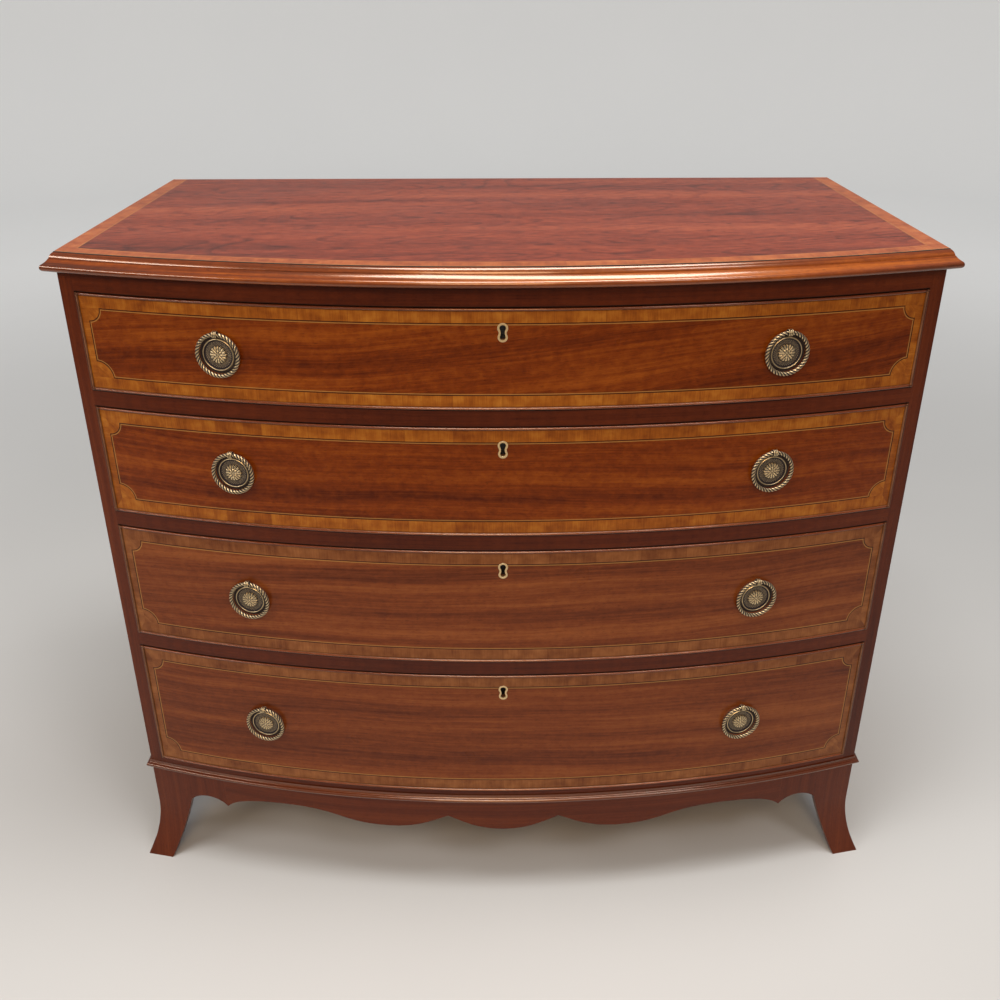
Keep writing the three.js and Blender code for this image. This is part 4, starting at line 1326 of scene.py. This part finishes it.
    def shank(self, skin: Skin) -> None:
        """The shank through the drawer front, and its nut inside.

        Args:
            skin: what the shank is added to.
        """
        for radius, start, stop, sides in ((2.5 * MM, 0.0, 25.5 * MM, 24), (6 * MM, 21 * MM, 24.8 * MM, 6)):
            rim = turn_of((0, 0), radius, 0, 360 - 360 / sides, sides - 1)
            rings = np.stack([np.stack([rim[:, 0], np.full(sides, y), rim[:, 1]], -1) for y in (start, stop)])
            skin.tube(self.placed(rings), np.broadcast_to([0.0, 0.4], rings.shape[:2] + (2,)))

    def build(self, brass: bpy.types.Material) -> None:
        """Builds and settles the pull.

        Args:
            brass: the pulls' material.
        """
        plate_node = self.name.replace("_pull_", "_handle_plate_")
        ring_node = self.name.replace("_pull_", "_ring_")
        settle(self.plate(), self.body, Slot.BRASS, brass, plate_node)
        settle(self.ring(), self.ring_body, Slot.BRASS, brass, ring_node)


@dataclass
class Plinth:
    """The base: its moulding, the shaped apron, and the splayed feet with the skirts behind them."""

    bow: Bow
    height: float
    back_y: float
    thickness: float = 20 * MM
    wing: float = 113 * MM
    flare_share: float = 0.6
    flare_side: float = 27 * MM
    flare_front: float = 11 * MM
    bracket_drop: float = 53 * MM
    crown: float = 17 * MM
    back_wing: float = 110 * MM
    front_bracket: tuple[float, float] = (55.5 * MM, 12 * MM)
    side_bracket: tuple[float, float] = (60 * MM, 26 * MM)
    belly: float = 5 * MM
    arch_drop: float = 31 * MM
    notch_drop: float = 29.5 * MM
    skirt_drop: float = 34.5 * MM
    nose: float = 2.8 * MM
    nose_out: float = 7 * MM
    fillet: float = 1.6 * MM
    fillet_up: float = 10.5 * MM

    @property
    def bracket(self) -> float:
        """Height of the cusps between arches and feet."""
        return self.height - self.bracket_drop

    def flare(self, z: np.ndarray | float) -> np.ndarray:
        """Share of the full splay at a height: (1 - z / flare height) squared, and none above it."""
        return np.clip(1 - np.asarray(z) / (self.height * self.flare_share), 0, None) ** 2

    def moulding(self) -> bpy.types.Object:
        """Fillet, small hollow and round nose.

        Returns:
            The object.
        """
        nose, fillet = self.nose, self.fillet
        out = self.nose_out - nose
        top = self.height + self.fillet_up
        crest = self.height + 2 * nose
        profile = joined(
            np.array([[0.3 * MM, top], [0.3 * MM, self.height]]),
            turn_of((out, self.height + nose), nose, -90, 90, 18),
            quadratic((out, crest), (fillet, crest), (fillet, top - fillet), 10),
            np.array([[fillet, top]]),
        )
        return moulding("base_moulding_run", self.bow, profile, self.back_y)

    def apron_edge(self) -> np.ndarray:
        """Half of the sawn edge from the centre lobe out to the cusp: four smooth curves one after another.

        Returns:
            Points of (x, z).
        """
        cusp = self.bow.half - self.wing
        low = self.bracket
        peak, notch_peak = self.height - self.arch_drop, self.height - self.notch_drop
        notch, lobe, arch = 79 * MM, 165 * MM, 307 * MM
        ease, outward, swell = notch / 2, (lobe - notch) / 2, (arch - lobe) / 2
        span = (cusp - arch) / 4
        half_crown = self.crown / 2
        shoulder = notch_peak - half_crown
        return joined(
            cubic((0, low), (ease, low), (notch - ease / 2, shoulder), (notch, notch_peak), 22),
            cubic((notch, notch_peak), (notch + ease / 2, shoulder), (lobe - outward, low), (lobe, low), 22),
            cubic((lobe, low), (lobe + swell, low), (arch - swell, peak), (arch, peak), 24),
            cubic((arch, peak), (cusp - span, peak), (cusp - half_crown, low + half_crown), (cusp, low), 24),
        )

    def apron(self) -> bpy.types.Object:
        """Columns stand on the sawn edge and rise to the moulding, on the bow's face and its back.

        Returns:
            The object.
        """
        right = self.apron_edge()
        edge = np.vstack([(right * [-1, 1])[::-1][:-1], right])
        up = shares(8)[None]
        x = np.broadcast_to(edge[:, :1], (len(edge), 9))
        z = edge[:, 1:] * (1 - up) + self.height * up
        skin = Skin()
        face = np.stack([x, self.bow.y(x), z], -1)
        back = np.stack([x, self.bow.y(x, -self.thickness), z], -1)
        flat = np.stack([x, z], -1)
        ring = np.concatenate([face, back[:, ::-1]], 1)
        skin.tube(ring, np.concatenate([flat, flat[:, ::-1]], 1))
        return skin.piece("front_apron_sawn", 34)

    def bracket_line(self, inset: float, toe: float) -> np.ndarray:
        """Underside of a wing from its cusp to the corner, as (distance inside the corner, height): the small
        arch, the bracket's inner edge down to the toe, then the floor.

        Args:
            inset: distance inside the corner at which the bracket's inner edge starts.
            toe: distance inside the corner at which it reaches the floor.

        Returns:
            Points from the cusp to the corner.
        """
        low = self.bracket
        ease = (self.wing - inset) / 4
        crown = low + self.crown
        middle = (toe + inset) / 2 + self.belly
        return joined(
            cubic((self.wing, low), (self.wing - ease, crown), (inset + ease, crown), (inset, low), 16),
            quadratic((inset, low), (middle, low / 2), (toe, 0), 16),
            np.stack([np.linspace(toe, 0, 7), np.zeros(7)], -1),
        )

    def wing_grid(self, line: np.ndarray, splay: float, rows: int = 24) -> np.ndarray:
        """Flat grid of a wing as (distance inside the corner, height), its outer edge leaning out by the splay.

        Args:
            line: the wing's underside, from its cusp to the corner.
            splay: how far the toe leans out.
            rows: rows from the floor to the moulding.

        Returns:
            An array of shape (along, up, 2).
        """
        heights = shares(rows, -0.35) * self.height
        outer = np.stack([-splay * self.flare(heights), heights], -1)
        bottom = line.copy()
        floor = bottom[:, 1] <= 0
        bottom[floor, 0] = np.linspace(bottom[floor, 0][0], -splay, floor.sum())
        share = (bottom[:, 0] - bottom[0, 0]) / (bottom[-1, 0] - bottom[0, 0])
        top = np.stack([bottom[0, 0] * (1 - share), np.full(len(bottom), self.height)], -1)
        u = share[:, None, None]
        straight = outer[0] + (outer[-1] - outer[0]) * (heights / self.height)[:, None]
        v = (heights / self.height)[None, :, None]
        grid = bottom[:, None] * (1 - v) + top[:, None] * v
        return grid + u ** 3 * (outer - straight)[None]

    def front_wing(self, flat: np.ndarray, depth: float) -> np.ndarray:
        """Puts a wing's flat grid on the bow, `depth` behind its face, leaning forward with the splay.

        Args:
            flat: the wing's flat grid.
            depth: how far behind the face the points lie.

        Returns:
            Points with a last axis of 3.
        """
        x = self.bow.half - flat[..., 0]
        lean = self.flare(flat[..., 1])
        start = self.bow.half - self.wing
        splay = self.flare_side * lean
        width = self.wing
        beyond = np.clip(x - start, 0, None)
        least = 1e-9
        root = np.sqrt(width ** 2 + 4 * splay * beyond)
        own = np.where(splay > least, (root - width) / (2 * np.maximum(splay, least)), beyond / width)
        x_own = start + own * width
        y = self.bow.y(np.minimum(x_own, self.bow.half), -depth) - self.flare_front * lean
        return np.stack([x, y, flat[..., 1]], -1)

    def side_wing(self, flat: np.ndarray, depth: float) -> np.ndarray:
        """Puts a wing's flat grid on the right side, its distance running back from the front corner.

        Args:
            flat: the wing's flat grid.
            depth: how far inside the side's face the points lie.

        Returns:
            Points with a last axis of 3.
        """
        lean = self.flare(flat[..., 1])
        x = self.bow.half - depth + self.flare_side * lean
        y = self.bow.corner_y + flat[..., 0]
        return np.stack([x, y, flat[..., 1]], -1)

    def shell(self, name: str, outer: list[np.ndarray], inner: list[np.ndarray], flats: list[np.ndarray],
              side: int) -> bpy.types.Object:
        """Closes the outer and inner grids of a run of wings into one body, mirrored for the left side.

        Args:
            name: the piece's name.
            outer: grids of its outer face, one after another.
            inner: the grids behind them.
            flats: their places on the flat map.
            side: 1 for the right side and -1 for the left.

        Returns:
            The object.
        """
        face = np.concatenate(outer) * np.array([side, 1, 1])
        back = np.concatenate(inner) * np.array([side, 1, 1])
        flat = np.concatenate(flats)
        skin = Skin()
        skin.tube(np.concatenate([face, back[:, ::-1]], 1), np.concatenate([flat, flat[:, ::-1]], 1))
        return skin.piece(name, 38)

    def front_foot(self, side: int) -> bpy.types.Object:
        """The front foot: a wing on the bow and one on the side, meeting in the splayed toe.

        Args:
            side: 1 for the right side and -1 for the left.

        Returns:
            The object.
        """
        front = self.wing_grid(self.bracket_line(*self.front_bracket), self.flare_side)
        flank = self.wing_grid(self.bracket_line(*self.side_bracket), self.flare_front)[::-1]
        inner_front, inner_flank = front.copy(), flank.copy()
        reach = self.wing - front[..., 0]
        total = self.wing + self.flare_side * self.flare(front[..., 1])
        inner_front[..., 0] += self.thickness * (reach / total) ** 7
        reach = self.wing - flank[..., 0]
        total = self.wing + self.flare_front * self.flare(flank[..., 1])
        inner_flank[..., 0] += self.thickness * (reach / total) ** 9
        outer = [self.front_wing(front, 0), self.side_wing(flank, 0)]
        corner = self.side_wing(inner_flank, self.thickness)
        inner = [self.front_wing(inner_front, self.thickness), corner]
        inner[0][-1] = corner[0]
        flats = [np.stack([front[..., 1], front[..., 0]], -1), np.stack([flank[..., 1], -flank[..., 0]], -1)]
        return self.shell(f"front_foot_{'left' if side < 0 else 'right'}_splayed", outer, inner, flats, side)

    def skirt_arch(self, front: float, rear: float) -> np.ndarray:
        """Long arch of the skirt between two cusps, as (distance behind the front corner, height).

        Args:
            front: the front cusp's distance behind the front corner.
            rear: the rear cusp's.

        Returns:
            Points from cusp to cusp.
        """
        peak = self.height - self.skirt_drop
        middle = (front + rear) / 2
        ease = (middle - front) / 2
        low = self.bracket
        return joined(
            cubic((front, low), (front, peak), (front + ease, peak), (middle, peak), 20),
            cubic((middle, peak), (rear - ease, peak), (rear, peak), (rear, low), 20),
        )

    def skirt(self, side: int) -> bpy.types.Object:
        """The side behind the front foot, the rear foot and the bracket that returns across the back.

        Args:
            side: 1 for the right side and -1 for the left.

        Returns:
            The object.
        """
        depth = self.back_y - self.bow.corner_y
        rear = depth - self.wing
        arch = self.skirt_arch(self.wing, rear)
        up = (shares(24, -0.35))[None, :, None]
        top = np.stack([arch[:, 0], np.full(len(arch), self.height)], -1)
        arch_grid = arch[:, None] * (1 - up) + top[:, None] * up
        foot = self.wing_grid(self.bracket_line(*self.side_bracket), 0.0)
        foot_grid = np.stack([depth - foot[..., 0], foot[..., 1]], -1)
        outer = [self.side_wing(arch_grid, 0), self.side_wing(foot_grid, 0)]
        inner_foot = foot_grid.copy()
        share = (foot_grid[..., 0] - rear) / self.wing
        inner_foot[..., 0] -= self.thickness * share ** 9
        inner = [self.side_wing(arch_grid, self.thickness), self.side_wing(inner_foot, self.thickness)]
        inner_edge, toe = self.front_bracket
        line = joined(
            np.stack([np.linspace(0, toe, 6), np.zeros(6)], -1),
            quadratic((toe, 0), (inner_edge, self.bracket / 2), (self.back_wing, self.bracket + self.crown), 22),
        )
        heights = shares(24, -0.35)[None, :]
        x_in = np.broadcast_to(line[:, :1], (len(line), 25))
        z = line[:, 1:] * (1 - heights) + self.height * heights
        lean = self.flare(z) * self.flare_side * np.clip(1 - x_in / self.back_wing, 0, 1) ** 2
        x = self.bow.half - x_in + lean
        back_face = np.stack([x, np.full_like(x, self.back_y), z], -1)
        share = np.clip(1 - x_in / self.back_wing, 0, 1) ** 9
        inner_y = np.full_like(x, self.back_y - self.thickness)
        back_inner = np.stack([x - self.thickness * share, inner_y, z], -1)
        back_inner[0] = inner[1][-1]
        outer.append(back_face)
        inner.append(back_inner)
        flats = [arch_grid, foot_grid[..., ::-1], np.stack([z, x], -1)]
        return self.shell(f"side_skirt_{'left' if side < 0 else 'right'}_sawn", outer, inner, flats, side)

    def build(self) -> None:
        """Builds and settles the base."""
        wood = run_mahogany("plinth_mahogany", replace(PLAIN, seed=23))
        edge = run_mahogany("base_moulding_mahogany", FOOT_EDGE, GLOSS)
        settle(self.moulding(), "carcase", Slot.CARCASE, edge, "base_moulding")
        settle(self.apron(), "carcase", Slot.CARCASE, wood, "front_apron")
        for side, word in ((-1, "left"), (1, "right")):
            settle(self.front_foot(side), "carcase", Slot.CARCASE, wood, f"front_foot_{word}")
            settle(self.skirt(side), "carcase", Slot.CARCASE, wood, f"side_skirt_{word}")


@dataclass
class Rails:
    """Smooth facings on the front edges of the rails and the bottom board."""

    bow: Bow
    half: float
    nodes: Sequence[str]
    rail: float = 20.5 * MM
    board: float = 18 * MM
    proud: float = 0.12 * MM
    let_in: float = 0.8 * MM

    def facing(self, node: str) -> bpy.types.Object:
        """A thin strip on the bow over a rail's front edge.

        Args:
            node: the rail's node.

        Returns:
            The object.
        """
        low, high = (corner.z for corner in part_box(node))
        end = self.bow.arc(self.half)
        s = np.linspace(-end, end, 97)[:, None]
        if node.startswith("drawer_divider"):
            high = low + self.rail
        if node == "bottom_board":
            high = low + self.board
        middle = (low + high) / 2
        z = np.array([low, middle, high, high, low])[None]
        out = np.array([self.proud] * 3 + [-self.let_in] * 2)[None]
        skin = Skin()
        flat = np.stack(np.broadcast_arrays(s, np.minimum(z - low, high - z)), -1)
        skin.tube(self.bow.wrap(s, z, out), flat)
        return skin.piece(f"{node}_facing")

    def finish(self) -> bpy.types.Material:
        """Plain mahogany, with painted shade in the gaps along its two edges.

        Returns:
            The material.
        """
        bench = FRENCH.bench("rail_mahogany")
        along, from_edge = bench.flat()
        wood = replace(PLAIN, mottle=0.4, seed=53)
        colour, pores = wood.figure(bench, along, from_edge)
        # Painted shade: within 1.3 mm of either edge the facing darkens nearly to black, for the shadow in the
        # gap beside the drawers.
        gap_shade = 1 - bench.rise(from_edge, 0.3 * MM, 1.3 * MM)
        return FRENCH.dress(bench, bench.mix(gap_shade * 0.9, colour, EBONY), pores)

    def build(self) -> None:
        """Builds and settles the facings."""
        wood = self.finish()
        for node in self.nodes:
            settle(self.facing(node), "carcase", Slot.CARCASE, wood)


@dataclass
class BackBoards:
    """Upright boards of the back, tongued into each other, with a small V where two meet."""

    low: Vector
    high: Vector
    boards: int = 7
    groove: float = 1.6 * MM

    @property
    def width(self) -> float:
        """Width of one board."""
        return (self.high.x - self.low.x) / self.boards

    def panel(self) -> bpy.types.Object:
        """The boards: across the back the depth drops by `groove` at each joint, the same at each height.

        Returns:
            The object.
        """
        joints = self.low.x + self.width * np.arange(1, self.boards)
        edges = joints[:, None] + np.array([-1, 0, 1]) * self.groove
        x = np.concatenate([[self.low.x], edges.ravel(), [self.high.x]])
        dip = np.concatenate([[0], np.tile([0, 1, 0], self.boards - 1), [0]]) * self.groove
        z = self.low.z + (self.high.z - self.low.z) * shares(12)
        x, z = np.meshgrid(x, z)
        outside = np.stack([x, self.high.y - np.broadcast_to(dip, x.shape), z], -1)
        inside = np.stack([x, self.low.y + np.broadcast_to(dip, x.shape), z], -1)
        skin = Skin()
        skin.tube(np.concatenate([outside, inside[:, ::-1]], 1))
        return skin.piece("back_boards_tongued", 20)

    def build(self) -> None:
        """Builds and settles the back."""
        piece = self.panel()
        piece_finish = PINE.make(Grain.UP, self.width)
        settle(piece, "carcase", Slot.PINE, piece_finish, "back_panel")


@dataclass
class PackedWood:
    """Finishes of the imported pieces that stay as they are."""

    nodes: dict[str, bpy.types.Object]

    def build(self) -> None:
        """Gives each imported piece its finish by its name."""
        upright = solid_mahogany("side_mahogany", replace(PLAIN, seed=61), Grain.UP)
        lying = solid_mahogany("rail_core_mahogany", replace(PLAIN, seed=67), Grain.ACROSS)
        core = PlainWood("front_core", (0.120, 0.045, 0.018), (0.240, 0.105, 0.045)).make(Grain.ACROSS)
        oak_across, oak_deep = OAK.make(Grain.ACROSS), OAK.make(Grain.DEEP)
        metal = steel()
        rules = (("side_panel", upright), ("_side_", oak_deep), ("_bottom", oak_across),
                 ("_back", oak_across), ("_lock", metal), ("_front", core), ("", lying))
        for name, node in self.nodes.items():
            finish = next(material for key, material in rules if key in name)
            node.data.materials.clear()
            node.data.materials.append(finish)


@dataclass(frozen=True)
class Lamp:
    """One soft rectangular lamp: its place, what it points at, its size, power and colour."""

    name: str
    place: Point
    aim: Point
    size: tuple[float, float]
    power: float
    colour: Colour


LAMPS = (
    Lamp("over", (0.2, -0.45, 3.0), (0, -0.1, 0.4), (1.8, 0.8), 67, (1.0, 0.98, 0.97)),
    Lamp("front", (-0.1, -2.9, 2.3), (0, 0, 0.5), (0.95, 1.3), 37, (1.0, 0.70, 0.42)),
    Lamp("right", (1.45, -2.3, 3.2), (0.1, -0.2, 0.6), (0.9, 0.6), 18, (1.0, 0.93, 0.92)),
    Lamp("left", (-2.5, -1.7, 2.2), (-0.2, -0.2, 0.5), (1.8, 0.4), 31, (1.0, 0.95, 0.92)),
)


@dataclass
class Studio:
    """Pale floor that curves up into a pale wall all round, with painted shade on the floor in front of the
    chest, soft lamps and the camera.
    """

    floor: Colour = (0.58, 0.585, 0.575)
    reach: float = 6.0
    wall: float = 3.6
    mirrored: float = 0.28
    glow: Colour = (0.40, 0.397, 0.390)
    far_floor_shade: Colour = (0.10, 0.09, 0.08)
    sky: Colour = (0.93, 0.96, 1.0)
    sky_strength: float = 0.28
    view: tuple[float, float, float] = (26.45, -0.13, -0.16)
    lens: float = 37.14
    eye: tuple[float, float, float] = (-0.0061, -1.4007, 1.198)

    def camera(self) -> None:
        """The camera at the photograph's place: its angles turn the right, up and forward vectors."""
        pitch, yaw, roll = (math.radians(angle) for angle in self.view)
        turn = Matrix.Rotation(yaw, 3, "Z")
        right = turn @ Vector((1, 0, 0))
        up = turn @ Vector((0, math.sin(pitch), math.cos(pitch)))
        ahead = turn @ Vector((0, math.cos(pitch), -math.sin(pitch)))
        level_right = math.cos(roll) * right + math.sin(roll) * up
        level_up = math.cos(roll) * up - math.sin(roll) * right
        lens = bpy.data.cameras.new("camera")
        lens.sensor_width, lens.lens = 36.0, self.lens
        lens.clip_start, lens.clip_end = 0.05, 60
        camera = bpy.data.objects.new("camera", lens)
        camera.matrix_world = Matrix((level_right, level_up, -ahead)).transposed().to_4x4()
        camera.location = self.eye
        bpy.context.scene.collection.objects.link(camera)
        bpy.context.scene.camera = camera

    def backdrop(self) -> None:
        """A turned sheet: flat floor, a quarter circle and an upright wall. Painted shade darkens the floor
        more and more from 0.8 to 1.9 m in front of the middle. A little light of its own, seen but not cast,
        keeps the wall pale."""
        bend = np.radians(np.linspace(6, 90, 15))
        level = np.linspace(0, self.reach, 12)
        radius = np.concatenate([level, self.reach + np.sin(bend), np.full(2, self.reach + 1)])
        height = np.concatenate([np.zeros(12), 1 - np.cos(bend), [self.wall / 2, self.wall]])
        angle = np.linspace(0, 2 * np.pi, 97)[:-1][:, None]
        up = np.broadcast_to(height, (96, len(height)))
        points = np.stack([radius * np.cos(angle), radius * np.sin(angle), up], -1)
        skin = Skin()
        skin.grid(points, round_u=True)
        sheet = skin.piece("studio_floor")
        sheet.data.flip_normals()
        bench = Bench("studio_floor", 0.75)
        x, y, z = bench.place()
        cloud = bench.noise(x * 1.5, y * 1.5, z * 1.5, 3)
        colour = bench.mix(cloud, tuple(c * 0.96 for c in self.floor), tuple(c * 1.04 for c in self.floor))
        # Painted shade on the floor in front of the chest, which the drawer fronts reflect.
        colour = bench.mix(bench.rise(0 - y, 0.8, 1.9) * 0.7, colour, self.far_floor_shade)
        bench.shader.inputs["Emission Strength"].default_value = 1.0
        path = bench.node("LightPath").outputs
        mirrored = bench.most(Tone(bench, path["Is Glossy Ray"]), Tone(bench, path["Is Transmission Ray"]))
        seen = bench.most(Tone(bench, path["Is Camera Ray"]), mirrored * self.mirrored)
        far = bench.rise(bench.math("SQRT", x * x + y * y), 0.8, 4.5)
        glow = bench.mix(seen * far, (0, 0, 0), self.glow)
        sheet.data.materials.append(bench.dress(colour, Emission_Color=glow))

    def lamp(self, lamp: Lamp) -> None:
        """Sets up one lamp.

        Args:
            lamp: the lamp.
        """
        light = bpy.data.lights.new(lamp.name, "AREA")
        light.shape = "RECTANGLE"
        light.size, light.size_y = lamp.size
        light.energy = lamp.power
        light.color = lamp.colour
        piece = bpy.data.objects.new(lamp.name, light)
        piece.location = lamp.place
        piece.rotation_euler = (Vector(lamp.aim) - Vector(lamp.place)).to_track_quat("-Z", "Y").to_euler()
        bpy.context.scene.collection.objects.link(piece)

    def build(self) -> None:
        """Sets the stage."""
        world = bpy.data.worlds.new("studio")
        world.use_nodes = True
        world.node_tree.nodes["Background"].inputs[0].default_value = (*self.sky, 1)
        world.node_tree.nodes["Background"].inputs[1].default_value = self.sky_strength
        bpy.context.scene.world = world
        bpy.context.scene.view_settings.view_transform = "Standard"
        self.backdrop()
        for lamp in LAMPS:
            self.lamp(lamp)


def main() -> None:
    """Builds the chest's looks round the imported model."""
    logging.basicConfig(level=logging.INFO, format="%(name)s: %(message)s")
    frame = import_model()
    studio = Studio()
    studio.camera()
    bow = Bow()
    PackedWood(frame["nodes"]).build()
    top_low, top_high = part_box("top_board")
    Top(bow, top_high.y, top_high.z, top_low.z).build()
    plinth_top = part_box("base_moulding")[0].z
    Plinth(bow, plinth_top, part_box("back_panel")[1].y).build()
    BackBoards(*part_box("back_panel")).build()
    dividers = (f"drawer_divider_{number}" for number in range(1, 4))
    Rails(bow, bow.half - SIDE_PANEL, ("top_rail", *dividers, "bottom_board")).build()
    bead = bead_mahogany(bow)
    brass = BRASS.make()
    joints = {joint["name"]: joint for joint in frame["joints"]}
    for number in range(1, 5):
        low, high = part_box(f"drawer_{number}_front")
        DrawerFace(bow, number, low.z, high.z, high.x).build(bead)
        for side in ("left", "right"):
            swing = joints[f"drawer_{number}_ring_{side}_swing"]
            RingPull(f"drawer_{number}_pull_{side}", f"drawer_{number}", f"drawer_{number}_ring_{side}",
                     Vector(swing["pos_m"]), Vector(swing["axis"])).build(brass)
    studio.build()


if __name__ == "__main__":
    main()
